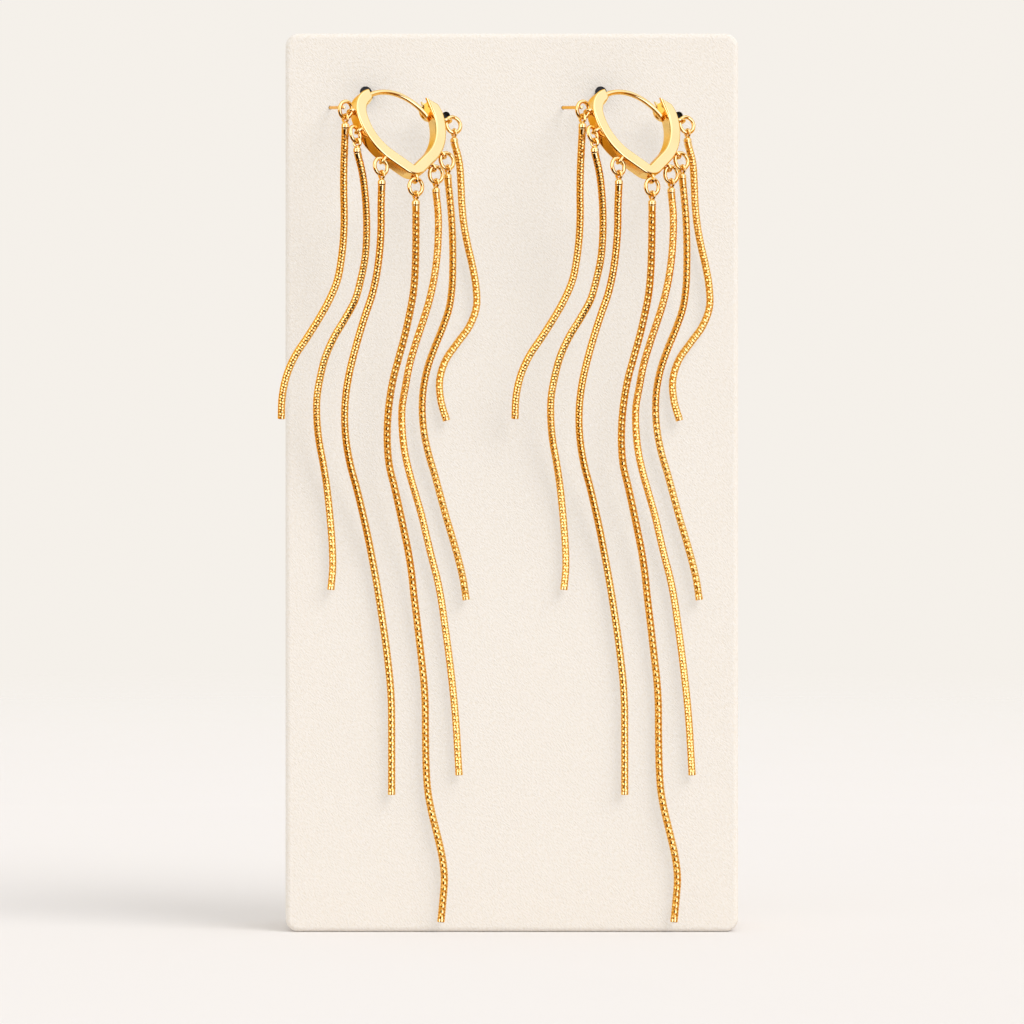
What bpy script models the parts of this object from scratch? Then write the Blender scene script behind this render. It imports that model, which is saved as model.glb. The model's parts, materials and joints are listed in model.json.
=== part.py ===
"""Pair of dangle earrings on an upright display block, in metres, +Z up.

The origin is the middle of the block's foot. The block's face looks along -Y.
Each earring is a V-shaped huggie band with a hinged ear wire and seven snake chains.
The band is drawn in its own plane: x to the right, y up, z towards the viewer.
"""

import math

import bmesh
import bpy
from mathutils import Matrix, Vector

MM = 0.001

# Display block
BLOCK_WIDTH = 65.0 * MM
BLOCK_DEPTH = 20.0 * MM
BLOCK_HEIGHT = 129.0 * MM
BLOCK_CORNER_RADIUS = 1.9 * MM
BLOCK_EDGE_RADIUS = 0.8 * MM
ROUND_PROFILE = 0.5
BLOCK_EDGE_SEGMENTS = 3
BLOCK_ARC_STEP = math.radians(22.5)
BLOCK_HOLE_DEPTH = 4.0 * MM

# Place of the pair on the block
PAIR_SPACING = 33.4 * MM
PAIR_OFFSET = 1.65 * MM
HOOP_BELOW_TOP = 14.5 * MM
HOOP_STANDOFF = 8.63 * MM
HOOP_TURN = math.radians(37.8)
HOOP_LEAN = math.radians(22.5)
HOOP_ROLL = math.radians(0.9)

# Band of the hoop
BAND_WIDTH = 1.75 * MM
BAND_DEPTH = 2.0 * MM
BAND_CHAMFER = 0.1 * MM
SHOULDER_X = 3.7 * MM
SHOULDER_Y = 2.4 * MM
SHOULDER_RADIUS = 4.0 * MM
LIMB_RADIUS = 8.8 * MM
LIMB_SLOPE = math.radians(35.5)
POINT_ROUNDING = 2.6 * MM
LEFT_END_ANGLE = math.radians(101.0)
LEFT_END_WIDTH = 1.4 * MM
LEFT_END_TAPER = math.radians(17.0)
RIGHT_END_ANGLE = math.radians(30.0)
RIGHT_TIP_X = 1.75 * MM
RIGHT_TIP_Y = 3.0 * MM
RIGHT_INNER_ANGLE = math.radians(12.0)
ARC_STEP = math.radians(11.0)
SMOOTH_ANGLE = math.radians(40.0)

# Ear wire and its hinge
WIRE_RADIUS = 0.36 * MM
WIRE_ARC_RADIUS = 7.4 * MM
WIRE_REACH = 10.45 * MM
WIRE_DROP_ANGLE = math.radians(-13.2)
WIRE_SIDES = 10
WIRE_STEPS = 14
WIRE_TIP_TURNS = (30, 60, 80)
HINGE_ANGLE = math.radians(113.5)
HINGE_INSET = 0.93 * MM
KNUCKLE_RADIUS = 0.5 * MM
PIN_RADIUS = 0.2 * MM
PIN_WALL = 0.2 * MM
OPENING_ANGLE = math.radians(60.0)
SLOT_CLEARANCE = 0.15 * MM
BORE_CLEARANCE = 0.1 * MM

# Catch at the right end
CATCH_REACH_BELOW = math.radians(4.2)
CATCH_REACH_ABOVE = math.radians(14.0)
CATCH_THROAT = 3.2 * MM
CATCH_ARC_STEP = math.radians(3.7)
TAB_RADIUS = 1.25 * MM
TAB_ANGLE = math.radians(26.5)
TAB_INSET = 1.32 * MM

# Lugs, jump rings and caps
LUG_RADIUS = 0.55 * MM
LUG_WIRE = 0.2 * MM
LUG_SETBACK = 0.78 * MM
RING_RADIUS = 1.15 * MM
RING_WIRE = 0.24 * MM
LOOP_RADIUS = 0.54 * MM
LOOP_WIRE = 0.19 * MM
CAP_RADIUS = 0.58 * MM
CAP_NECK_RADIUS = 0.3 * MM
CAP_NECK = 0.25 * MM
CAP_LENGTH = 0.5 * MM
LINK_GAP = 0.1 * MM
RING_SEGMENTS = 12
LUG_SEGMENTS = 10
WIRE_FACETS = 5
CAP_FACETS = 10

# Snake chains
CHAIN_RADIUS = 0.54 * MM
CHAIN_STEP = 3.2 * MM
CHAIN_REST_GAP = 0.4 * MM
CHAIN_BEVEL_RESOLUTION = 2
ROUTE_SAMPLES = 24

# What holds each earring on the block
HOLE_CLEARANCE = 0.1 * MM
SEAT_GAP = 0.3 * MM
PEG_A_RIGHT = -5.7 * MM
PEG_A_UP = 5.45 * MM
PEG_A_RADIUS = 0.8 * MM
PEG_B_RIGHT = 5.65 * MM
PEG_B_UP = 2.7 * MM
PEG_B_RADIUS = 0.5 * MM
PEG_LENGTH = 14.0 * MM
HOLD_PIN_RIGHT = -11.6 * MM
HOLD_PIN_UP = 4.1 * MM
HOLD_PIN_RADIUS = 0.25 * MM
HOLD_PIN_END = 0.7 * MM
HOLD_PIN_SEAT_ANGLE = math.radians(150.0)
ROUND_FACETS = 12

# One row for each lug: its bearing round the band seen from the hoop's origin, how far its bar stands
# off the band as a share of the lug's radius, the turn and lean of its ring, and the direction in the
# ring's plane in which it hangs.
LUG_COLUMNS = ("bearing", "standoff", "turn", "lean", "hang")
LUG_ROWS = (
    (160.0, 1.78, 45.0, -4.0, 160.0),
    (180.5, 1.67, 58.0, 16.0, 220.0),
    (223.0, 1.67, 42.0, 8.0, 252.0),
    (270.0, 1.67, 37.5, 0.0, 272.0),
    (303.0, 1.67, 37.5, 0.0, 292.0),
    (330.0, 1.67, 37.5, 10.0, 305.0),
    (14.5, 2.55, 30.0, 12.0, 322.0),
)

# Routes of the chains, chosen by hand: millimetres to the right of the chain's top, millimetres below
# it, and the share of the top's distance from the block that is left there.
CHAIN_ROUTES = (
    (
        (0, 0, 1.0),
        (-0.3, 6.9, 0.83),
        (-0.3, 13.6, 0.67),
        (-0.8, 18.6, 0.56),
        (-1.6, 22.0, 0.49),
        (-3.3, 25.4, 0.42),
        (-5.4, 28.8, 0.35),
        (-7.3, 31.6, 0.3),
        (-8.6, 34.4, 0.24),
        (-9.3, 37.3, 0.19),
        (-9.5, 40.8, 0.14),
    ),
    (
        (0, 0, 1.0),
        (0.8, 3.6, 0.91),
        (1.2, 8.5, 0.79),
        (1.1, 13.5, 0.68),
        (0.5, 16.9, 0.6),
        (-0.4, 20.3, 0.53),
        (-2.2, 23.6, 0.45),
        (-4.2, 27.0, 0.39),
        (-5.3, 30.4, 0.32),
        (-6.0, 33.8, 0.26),
        (-6.1, 37.2, 0.2),
        (-5.8, 40.6, 0.14),
        (-5.2, 44.0, 0.09),
        (-4.7, 47.5, 0.04),
        (-4.2, 52.6, 0.0),
        (-3.9, 57.8, 0.0),
        (-4.2, 61.8, 0.0),
    ),
    (
        (0, 0, 1.0),
        (-0.1, 2.5, 0.94),
        (-0.2, 7.5, 0.83),
        (-0.8, 12.5, 0.72),
        (-1.6, 15.8, 0.64),
        (-2.8, 19.2, 0.57),
        (-3.8, 22.6, 0.5),
        (-4.7, 26.0, 0.44),
        (-5.3, 29.4, 0.37),
        (-5.5, 32.8, 0.31),
        (-5.3, 36.2, 0.25),
        (-4.7, 39.6, 0.19),
        (-3.8, 43.0, 0.14),
        (-2.6, 48.2, 0.07),
        (-1.6, 53.3, 0.01),
        (-0.7, 58.5, 0.0),
        (0.3, 65.4, 0.0),
        (1.0, 72.2, 0.0),
        (1.1, 79.1, 0.0),
        (1.1, 86.7, 0.0),
    ),
    (
        (0, 0, 1.0),
        (0.0, 3.0, 0.94),
        (-0.1, 8.6, 0.82),
        (-0.5, 13.1, 0.73),
        (-1.2, 16.4, 0.66),
        (-2.0, 19.8, 0.59),
        (-3.0, 23.2, 0.53),
        (-3.7, 26.6, 0.47),
        (-4.1, 30.0, 0.41),
        (-4.2, 33.4, 0.35),
        (-3.9, 36.9, 0.29),
        (-3.1, 40.3, 0.24),
        (-2.0, 45.4, 0.16),
        (-1.0, 50.6, 0.09),
        (-0.4, 55.8, 0.03),
        (0.4, 62.6, 0.0),
        (1.1, 69.5, 0.0),
        (1.2, 76.4, 0.0),
        (1.4, 82.1, 0.0),
        (1.9, 85.6, 0.0),
        (2.7, 89.0, 0.0),
        (3.5, 92.4, 0.0),
        (3.9, 95.9, 0.0),
        (3.7, 99.0, 0.0),
        (3.4, 102.2, 0.0),
    ),
    (
        (0, 0, 1.0),
        (0.3, 3.0, 0.93),
        (0.2, 8.1, 0.81),
        (-0.5, 13.2, 0.7),
        (-1.4, 16.6, 0.63),
        (-2.5, 20.0, 0.56),
        (-3.6, 23.4, 0.49),
        (-4.3, 26.8, 0.42),
        (-4.9, 30.2, 0.35),
        (-4.9, 33.6, 0.29),
        (-4.5, 37.1, 0.23),
        (-3.7, 40.5, 0.18),
        (-2.2, 45.7, 0.1),
        (-1.0, 50.8, 0.04),
        (0.3, 56.0, 0.0),
        (1.1, 61.1, 0.0),
        (2.0, 68.0, 0.0),
        (2.7, 74.9, 0.0),
        (3.2, 83.1, 0.0),
    ),
    (
        (0, 0, 1.0),
        (0.5, 5.0, 0.86),
        (0.7, 10.1, 0.72),
        (0.6, 15.2, 0.59),
        (0.1, 18.6, 0.5),
        (-1.1, 22.0, 0.42),
        (-2.5, 25.5, 0.34),
        (-3.4, 28.9, 0.26),
        (-3.7, 32.3, 0.19),
        (-3.5, 35.7, 0.13),
        (-2.8, 39.2, 0.07),
        (-1.8, 42.6, 0.02),
        (-0.4, 47.8, 0.0),
        (1.1, 52.9, 0.0),
        (2.1, 56.9, 0.0),
        (2.6, 60.1, 0.0),
    ),
    (
        (0, 0, 1.0),
        (0.8, 3.3, 0.83),
        (1.0, 6.8, 0.66),
        (1.2, 10.2, 0.51),
        (1.7, 13.6, 0.36),
        (2.5, 17.1, 0.23),
        (3.0, 19.9, 0.13),
        (3.3, 22.2, 0.06),
        (3.0, 24.2, 0.01),
        (2.2, 26.2, 0.0),
        (0.8, 28.2, 0.0),
        (-0.7, 30.2, 0.0),
        (-1.7, 32.2, 0.0),
        (-2.1, 34.2, 0.0),
        (-2.0, 36.5, 0.0),
        (-1.1, 39.8, 0.0),
    ),
)

# Values worked out from the ones above
BLOCK_FACE_Y = -BLOCK_DEPTH / 2
SLOT_WIDTH = 2 * (WIRE_RADIUS + SLOT_CLEARANCE)
MID_DEPTH = -BAND_DEPTH / 2
SHOULDER_LEFT = Vector((-SHOULDER_X, SHOULDER_Y))
SHOULDER_RIGHT = Vector((SHOULDER_X, SHOULDER_Y))
LIMB_CENTRE_X = SHOULDER_X + SHOULDER_RADIUS - LIMB_RADIUS
LIMB_SWEEP = math.pi / 2 - LIMB_SLOPE
RIGHT_TIP = SHOULDER_RIGHT + Vector((RIGHT_TIP_X, RIGHT_TIP_Y))
TILT = (
    Matrix.Rotation(HOOP_TURN, 4, "Z")
    @ Matrix.Rotation(math.pi / 2 - HOOP_LEAN, 4, "X")
    @ Matrix.Rotation(HOOP_ROLL, 4, "Z")
)


def remove_scene_objects():
    """Empty the scene."""
    for item in list(bpy.data.objects):
        bpy.data.objects.remove(item, do_unlink=True)


def make_material(name, colour, roughness, metallic):
    """A Principled material of one colour."""
    material = bpy.data.materials.new(name)
    material.use_nodes = True
    shader = material.node_tree.nodes["Principled BSDF"]
    shader.inputs["Base Color"].default_value = (*colour, 1.0)
    shader.inputs["Roughness"].default_value = roughness
    shader.inputs["Metallic"].default_value = metallic
    return material


def place(name, mesh, matrix, material, parent=None):
    """A named object for one piece, with its own copy of the material."""
    piece = bpy.data.objects.new(name, mesh)
    bpy.context.scene.collection.objects.link(piece)
    piece.parent = parent
    piece.matrix_world = matrix
    piece.material_slots[0].link = "OBJECT"
    piece.material_slots[0].material = material
    return piece


def direction(angle):
    """Unit vector in the plane."""
    return Vector((math.cos(angle), math.sin(angle)))


def arc(centre, radius, start, end, step=ARC_STEP):
    """Points on an arc, both ends included."""
    count = max(2, math.ceil(abs(end - start) / step))
    return [centre + radius * direction(start + (end - start) * i / count) for i in range(count + 1)]


def closed_mesh(name, shape):
    """Turn a finished bmesh into a mesh with smooth round faces and one material slot."""
    bmesh.ops.recalc_face_normals(shape, faces=shape.faces)
    mesh = bpy.data.meshes.new(name)
    shape.to_mesh(mesh)
    shape.free()
    mesh.shade_smooth()
    mesh.set_sharp_from_angle(angle=SMOOTH_ANGLE)
    mesh.materials.append(None)
    return mesh


def prism(outline, low, high):
    """A plane outline raised from z = low to z = high."""
    shape = bmesh.new()
    bottom = [shape.verts.new((p.x, p.y, low)) for p in outline]
    base = shape.faces.new(bottom)
    raised = bmesh.ops.extrude_face_region(shape, geom=[base])
    top = [v for v in raised["geom"] if isinstance(v, bmesh.types.BMVert)]
    bmesh.ops.translate(shape, verts=top, vec=(0, 0, high - low))
    return shape


def turned(profile, facets):
    """A solid turned round the z axis through (radius, height) rows, closed on the axis."""
    shape = bmesh.new()
    rows = []
    for radius, height in profile:
        ring = [
            shape.verts.new((radius * math.cos(a), radius * math.sin(a), height))
            for a in (2 * math.pi * i / facets for i in range(facets))
        ]
        rows.append(ring)
    for below, above in zip(rows, rows[1:]):
        for i in range(facets):
            j = (i + 1) % facets
            shape.faces.new((below[i], below[j], above[j], above[i]))
    shape.faces.new(list(reversed(rows[0])))
    shape.faces.new(rows[-1])
    return shape


def torus(radius, wire, segments, sides):
    """A wire ring in the xy plane."""
    shape = bmesh.new()
    rows = []
    for i in range(segments):
        turn = 2 * math.pi * i / segments
        row = []
        for k in range(sides):
            roll = 2 * math.pi * (k + 0.5) / sides
            out = radius + wire * math.cos(roll)
            row.append(shape.verts.new((out * math.cos(turn), out * math.sin(turn), wire * math.sin(roll))))
        rows.append(row)
    for i in range(segments):
        here = rows[i]
        after = rows[(i + 1) % segments]
        for k in range(sides):
            m = (k + 1) % sides
            shape.faces.new((here[k], after[k], after[m], here[m]))
    return shape


def carved(name, base, added=(), cut=()):
    """The base bmesh with other bmeshes joined to it and cut from it, as one mesh."""
    scene = bpy.context.scene.collection
    body = bpy.data.objects.new(name, closed_mesh(name, base))
    scene.objects.link(body)
    tools = []
    for operation, shapes in (("UNION", added), ("DIFFERENCE", cut)):
        for shape in shapes:
            tool = bpy.data.objects.new(name + "_tool", closed_mesh(name + "_tool", shape))
            scene.objects.link(tool)
            tools.append(tool)
            modifier = body.modifiers.new(operation.title(), "BOOLEAN")
            modifier.operation = operation
            modifier.solver = "EXACT"
            modifier.object = tool
    bpy.context.view_layer.update()
    evaluated = body.evaluated_get(bpy.context.evaluated_depsgraph_get())
    mesh = bpy.data.meshes.new_from_object(evaluated)
    mesh.name = name
    for item in tools + [body]:
        bpy.data.objects.remove(item, do_unlink=True)
    mesh.shade_smooth()
    mesh.set_sharp_from_angle(angle=SMOOTH_ANGLE)
    mesh.materials.clear()
    mesh.materials.append(None)
    return mesh


def transformed(shape, matrix):
    """Move a bmesh."""
    bmesh.ops.transform(shape, matrix=matrix, verts=shape.verts)
    return shape


def limb(side, inset):
    """Half of the band's outline at an inset, from the shoulder's widest point down to the V's point."""
    centre = Vector((LIMB_CENTRE_X, SHOULDER_Y))
    points = arc(centre, LIMB_RADIUS - inset, 0.0, -LIMB_SWEEP)
    foot = points[-1].y - points[-1].x * math.tan(LIMB_SLOPE)
    if inset == 0:
        rounding_centre = Vector((0, foot + POINT_ROUNDING / math.cos(LIMB_SLOPE)))
        start = -math.pi / 2 + LIMB_SLOPE
        points += arc(rounding_centre, POINT_ROUNDING, start, -math.pi / 2)
    else:
        points.append(Vector((0, foot)))
    return [Vector((side * p.x, p.y)) for p in points]


def band_outline():
    """The band seen from the front, from its left end down round the V and up to its right tip."""
    outer_left = arc(SHOULDER_LEFT, SHOULDER_RADIUS, LEFT_END_ANGLE, math.pi)
    outer_left += limb(-1, 0)[1:]
    outer_right = arc(SHOULDER_RIGHT, SHOULDER_RADIUS, RIGHT_END_ANGLE, 0)
    outer_right += limb(1, 0)[1:]
    inner_radius = SHOULDER_RADIUS - BAND_WIDTH
    end_corner = SHOULDER_LEFT + (SHOULDER_RADIUS - LEFT_END_WIDTH) * direction(LEFT_END_ANGLE)
    inner_left = [end_corner]
    inner_left += arc(SHOULDER_LEFT, inner_radius, LEFT_END_ANGLE + LEFT_END_TAPER, math.pi)
    inner_left += limb(-1, BAND_WIDTH)[1:]
    inner_right = arc(SHOULDER_RIGHT, inner_radius, RIGHT_INNER_ANGLE, 0)
    inner_right += limb(1, BAND_WIDTH)[1:]
    outer = outer_left + list(reversed(outer_right[:-1]))
    inner = inner_left + list(reversed(inner_right[:-1]))
    return outer + [RIGHT_TIP] + list(reversed(inner))


def hinge_place():
    """The hinge's centre in the plane."""
    return SHOULDER_LEFT + (SHOULDER_RADIUS - HINGE_INSET) * direction(HINGE_ANGLE)


def wire_arc():
    """The ear wire's centre line from the hinge to its tip, with the hinge at the origin."""
    tip = WIRE_REACH * direction(WIRE_DROP_ANGLE)
    height = math.sqrt(WIRE_ARC_RADIUS**2 - (WIRE_REACH / 2) ** 2)
    centre = tip / 2 - height * direction(WIRE_DROP_ANGLE + math.pi / 2)
    start = math.atan2(-centre.y, -centre.x)
    end = math.atan2(tip.y - centre.y, tip.x - centre.x)
    return arc(centre, WIRE_ARC_RADIUS, start, end, (start - end) / WIRE_STEPS)


def wire_start_angle():
    """The direction in which the closed ear wire leaves its hinge."""
    line = wire_arc()
    return math.atan2(line[1].y - line[0].y, line[1].x - line[0].x)


def outer_point(bearing):
    """The point of the band's outer side at a bearing from the origin, and its outward normal."""
    ray = direction(bearing)
    outline = band_outline()
    best = None
    for a, b in zip(outline, outline[1:] + outline[:1]):
        run = b - a
        across = ray.x * run.y - ray.y * run.x
        if across == 0:
            continue
        reach = (a.x * run.y - a.y * run.x) / across
        share = (a.x * ray.y - a.y * ray.x) / across
        if reach > 0 and 0 <= share <= 1 and (best is None or reach > best[0]):
            best = (reach, Vector((-run.y, run.x)).normalized())
    reach, normal = best
    if normal.dot(ray) < 0:
        normal.negate()
    return reach * ray, normal


def lug_rows():
    """The lug rows as dictionaries in metres and radians."""
    rows = []
    for values in LUG_ROWS:
        row = dict(zip(LUG_COLUMNS, values))
        row["standoff"] *= LUG_RADIUS
        for key in ("bearing", "turn", "lean", "hang"):
            row[key] = math.radians(row[key])
        row["foot"], row["normal"] = outer_point(row["bearing"])
        rows.append(row)
    return rows


def lug_shape(row):
    """One soldered lug, sunk into the band's outer side."""
    centre = row["foot"] + (row["standoff"] - LUG_RADIUS) * row["normal"]
    normal = row["normal"].to_3d()
    towards = Vector((0, 0, 1))
    axes = Matrix((normal, towards, normal.cross(towards))).transposed().to_4x4()
    axes.translation = (centre.x, centre.y, -LUG_SETBACK)
    stretch = 1 + max(0.0, row["standoff"] - 2 * LUG_RADIUS) / LUG_RADIUS
    ring = torus(LUG_RADIUS, LUG_WIRE, LUG_SEGMENTS, WIRE_FACETS)
    for vert in ring.verts:
        if vert.co.x < 0:
            vert.co.x *= stretch
    return transformed(ring, axes)


def slot_fan():
    """Cutter of the hinge fork: room for the knuckle and for the wire from closed to open."""
    hinge = hinge_place()
    room = KNUCKLE_RADIUS + SLOT_CLEARANCE
    closed = wire_start_angle()
    opened = closed + OPENING_ANGLE
    reach = 2 * SHOULDER_RADIUS
    outline = arc(hinge, room, opened + math.pi / 2, closed + 3 * math.pi / 2)
    outline.append(outline[-1] + reach * direction(closed))
    outline.append(hinge + reach * direction((closed + opened) / 2))
    outline.append(outline[0] + reach * direction(opened))
    return prism(outline, MID_DEPTH - SLOT_WIDTH / 2, MID_DEPTH + SLOT_WIDTH / 2)


def catch_slot():
    """Cutter of the catch: the path of the wire's tip round the hinge, with clearance."""
    hinge = hinge_place()
    outer = WIRE_REACH + WIRE_RADIUS + SLOT_CLEARANCE
    low = WIRE_DROP_ANGLE - CATCH_REACH_BELOW
    high = CATCH_REACH_ABOVE
    outline = arc(hinge, outer, low, high, CATCH_ARC_STEP)
    outline += arc(hinge, outer - CATCH_THROAT, high, low, CATCH_ARC_STEP)
    return prism(outline, MID_DEPTH - SLOT_WIDTH / 2, MID_DEPTH + SLOT_WIDTH / 2)


def catch_tab():
    """The back wall's small tab, which stands proud of the band's inner side behind the wire's tip."""
    centre = SHOULDER_RIGHT + (SHOULDER_RADIUS - TAB_INSET) * direction(TAB_ANGLE)
    outline = arc(centre, TAB_RADIUS, 0, 2 * math.pi * (1 - 1 / ROUND_FACETS), 2 * math.pi / ROUND_FACETS)
    return prism(outline, -BAND_DEPTH, MID_DEPTH - SLOT_WIDTH / 2)


def pin_hole():
    """Cutter for the hinge pin, open at the band's back and blind behind its face."""
    hinge = hinge_place()
    hole = turned(
        ((PIN_RADIUS + BORE_CLEARANCE, -2 * BAND_DEPTH), (PIN_RADIUS + BORE_CLEARANCE, -PIN_WALL)),
        ROUND_FACETS,
    )
    return transformed(hole, Matrix.Translation((hinge.x, hinge.y, 0)))


def hoop_mesh():
    """The whole band with fork, catch and lugs."""
    band = prism(band_outline(), -BAND_DEPTH, 0)
    rims = [
        edge
        for edge in band.edges
        if abs(edge.verts[0].co.z - edge.verts[1].co.z) < BAND_CHAMFER
    ]
    bmesh.ops.bevel(band, geom=rims, offset=BAND_CHAMFER, segments=1, affect="EDGES")
    lugs = [lug_shape(row) for row in lug_rows()]
    cuts = [catch_slot(), slot_fan(), pin_hole()]
    return carved("hoop_frame", band, [catch_tab()] + lugs, cuts)


def wire_mesh():
    """The ear wire with its knuckle, rounded tip and bore, the hinge's centre at the origin."""
    line = wire_arc()
    shape = bmesh.new()
    rows = []
    last = line[-1]
    along = (line[-1] - line[-2]).normalized()
    stations = [(point, 1.0) for point in line]
    for turn in WIRE_TIP_TURNS:
        angle = math.radians(turn)
        stations.append((last + along * WIRE_RADIUS * math.sin(angle), math.cos(angle)))
    for index, (point, share) in enumerate(stations):
        before = stations[max(index - 1, 0)][0]
        after = stations[min(index + 1, len(stations) - 1)][0]
        tangent = (after - before).normalized()
        side = Vector((-tangent.y, tangent.x))
        row = []
        for k in range(WIRE_SIDES):
            roll = 2 * math.pi * k / WIRE_SIDES
            out = side * WIRE_RADIUS * share * math.cos(roll)
            rise = WIRE_RADIUS * share * math.sin(roll)
            row.append(shape.verts.new((point.x + out.x, point.y + out.y, rise)))
        rows.append(row)
    for here, after in zip(rows, rows[1:]):
        for k in range(WIRE_SIDES):
            m = (k + 1) % WIRE_SIDES
            shape.faces.new((here[k], after[k], after[m], here[m]))
    shape.faces.new(rows[0])
    shape.faces.new(list(reversed(rows[-1])))
    half = WIRE_RADIUS + SLOT_CLEARANCE / 4
    knuckle = turned(((KNUCKLE_RADIUS, -half), (KNUCKLE_RADIUS, half)), ROUND_FACETS)
    bore_radius = PIN_RADIUS + BORE_CLEARANCE
    bore = turned(((bore_radius, -2 * half), (bore_radius, 2 * half)), ROUND_FACETS)
    return carved("ear_wire", shape, [knuckle], [bore])


def pin_mesh():
    """The hinge pin along z, from behind the band's face to its back."""
    front = -(PIN_WALL + BORE_CLEARANCE)
    return closed_mesh("hinge_pin", turned(((PIN_RADIUS, -BAND_DEPTH), (PIN_RADIUS, front)), ROUND_FACETS))


def cap_mesh():
    """A chain's end cap: loop at the origin in the xy plane, cup hanging along -y."""
    loop = torus(LOOP_RADIUS, LOOP_WIRE, LUG_SEGMENTS, WIRE_FACETS)
    top = LOOP_RADIUS
    cup = turned(
        (
            (CAP_RADIUS, -(top + CAP_NECK + CAP_LENGTH)),
            (CAP_RADIUS, -(top + CAP_NECK)),
            (CAP_NECK_RADIUS, -top),
        ),
        CAP_FACETS,
    )
    transformed(cup, Matrix.Rotation(-math.pi / 2, 4, "X"))
    return carved("cap", cup, [loop])


def ring_frame(row, hoop):
    """Where a lug's ring hangs: its plane's axes and its centre."""
    axes = Matrix.Rotation(row["turn"], 4, "Z") @ Matrix.Rotation(math.pi / 2 - row["lean"], 4, "X")
    bar = row["foot"] + row["standoff"] * row["normal"]
    reach = RING_RADIUS - RING_WIRE - LUG_WIRE - LINK_GAP
    hang = direction(row["hang"]).to_3d() * reach
    centre = hoop @ Vector((bar.x, bar.y, -LUG_SETBACK)) + axes.to_3x3() @ hang
    return Matrix.Translation(centre) @ axes


def cap_frame(row, ring):
    """A cap's loop sits on its ring's lowest point, square to the ring, with the cup straight down."""
    lowest = ring @ Vector((0, -RING_RADIUS, 0))
    quarter = Matrix.Rotation(row["turn"] + math.pi / 2, 4, "Z")
    return Matrix.Translation(lowest) @ quarter @ Matrix.Rotation(math.pi / 2, 4, "X")


def chain_top(cap):
    """Where the chain starts, a link's gap below its cap."""
    return cap @ Vector((0, -(LOOP_RADIUS + CAP_NECK + CAP_LENGTH + LINK_GAP), 0))


def smooth_line(points, step):
    """Evenly spaced points on a smooth curve through the route's own points."""
    fine = []
    padded = [2 * points[0] - points[1]] + points + [2 * points[-1] - points[-2]]
    for p0, p1, p2, p3 in zip(padded, padded[1:], padded[2:], padded[3:]):
        for i in range(ROUTE_SAMPLES):
            t = i / ROUTE_SAMPLES
            fine.append(
                0.5
                * (
                    2 * p1
                    + (p2 - p0) * t
                    + (2 * p0 - 5 * p1 + 4 * p2 - p3) * t**2
                    + (3 * p1 - p0 - 3 * p2 + p3) * t**3
                )
            )
    fine.append(points[-1])
    lengths = [0.0]
    for a, b in zip(fine, fine[1:]):
        lengths.append(lengths[-1] + (b - a).length)
    count = math.ceil(lengths[-1] / step)
    line = []
    at = 0
    for i in range(count + 1):
        target = lengths[-1] * i / count
        while at < len(lengths) - 2 and lengths[at + 1] < target:
            at += 1
        span = lengths[at + 1] - lengths[at]
        line.append(fine[at].lerp(fine[at + 1], (target - lengths[at]) / span))
    return line


def chain_points(top, route):
    """A chain's route in the world, from its top to its free end."""
    lying = CHAIN_RADIUS + CHAIN_REST_GAP
    off_block = BLOCK_FACE_Y - top.y
    points = []
    for right, below, share in route:
        away = lying + (off_block - lying) * share
        points.append(Vector((top.x + right * MM, BLOCK_FACE_Y - away, top.z - below * MM)))
    return points


def make_chain(name, top, route, material, parent):
    """A snake chain as a round tube on its smooth route."""
    line = smooth_line(chain_points(top, route), CHAIN_STEP)
    curve = bpy.data.curves.new(name, "CURVE")
    curve.dimensions = "3D"
    curve.bevel_depth = CHAIN_RADIUS
    curve.bevel_resolution = CHAIN_BEVEL_RESOLUTION
    curve.use_fill_caps = True
    spline = curve.splines.new("POLY")
    spline.points.add(len(line) - 1)
    for point, spot in zip(spline.points, line):
        point.co = (*(spot - top), 1)
        point.radius = 1
    curve.materials.append(material)
    chain = bpy.data.objects.new(name, curve)
    bpy.context.scene.collection.objects.link(chain)
    chain.parent = parent
    chain.matrix_world = Matrix.Translation(top)
    return chain


def peg_mesh(hoop, across, radius):
    """A peg along -Y from its blind hole, cut off parallel to the band's back with a seat gap."""
    profile = ((radius, 0.0), (radius, PEG_LENGTH))
    peg = transformed(turned(profile, ROUND_FACETS), Matrix.Rotation(math.pi / 2, 4, "X"))
    start = peg_start(across, hoop)
    reach = 2 * PEG_LENGTH
    square = [reach * Vector(corner) for corner in ((-1, -1), (1, -1), (1, 1), (-1, 1))]
    keep_out = prism(square, -(BAND_DEPTH + SEAT_GAP), reach)
    transformed(keep_out, Matrix.Translation(-start) @ hoop)
    return carved("hold_peg", peg, cut=[keep_out])


def peg_start(across, hoop):
    """The inner end of a peg or pin, a seat gap short of its blind hole's floor."""
    origin = hoop.translation
    inside = BLOCK_FACE_Y + BLOCK_HOLE_DEPTH - SEAT_GAP
    return Vector((origin.x + across[0], inside, origin.z + across[1]))


def hold_pin_line(hoop, ring):
    """The slanted pin's two ends: inside the block, and just in front of the first ring."""
    start = peg_start((HOLD_PIN_RIGHT, HOLD_PIN_UP), hoop)
    reach = RING_RADIUS - RING_WIRE - HOLD_PIN_RADIUS - LINK_GAP
    seat = ring @ (direction(HOLD_PIN_SEAT_ANGLE).to_3d() * reach)
    return start, seat + HOLD_PIN_END * (seat - start).normalized()


def aligned(start, end):
    """A frame at start whose z axis points to end."""
    axes = (end - start).to_track_quat("Z", "Y").to_matrix().to_4x4()
    return Matrix.Translation(start) @ axes


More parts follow.
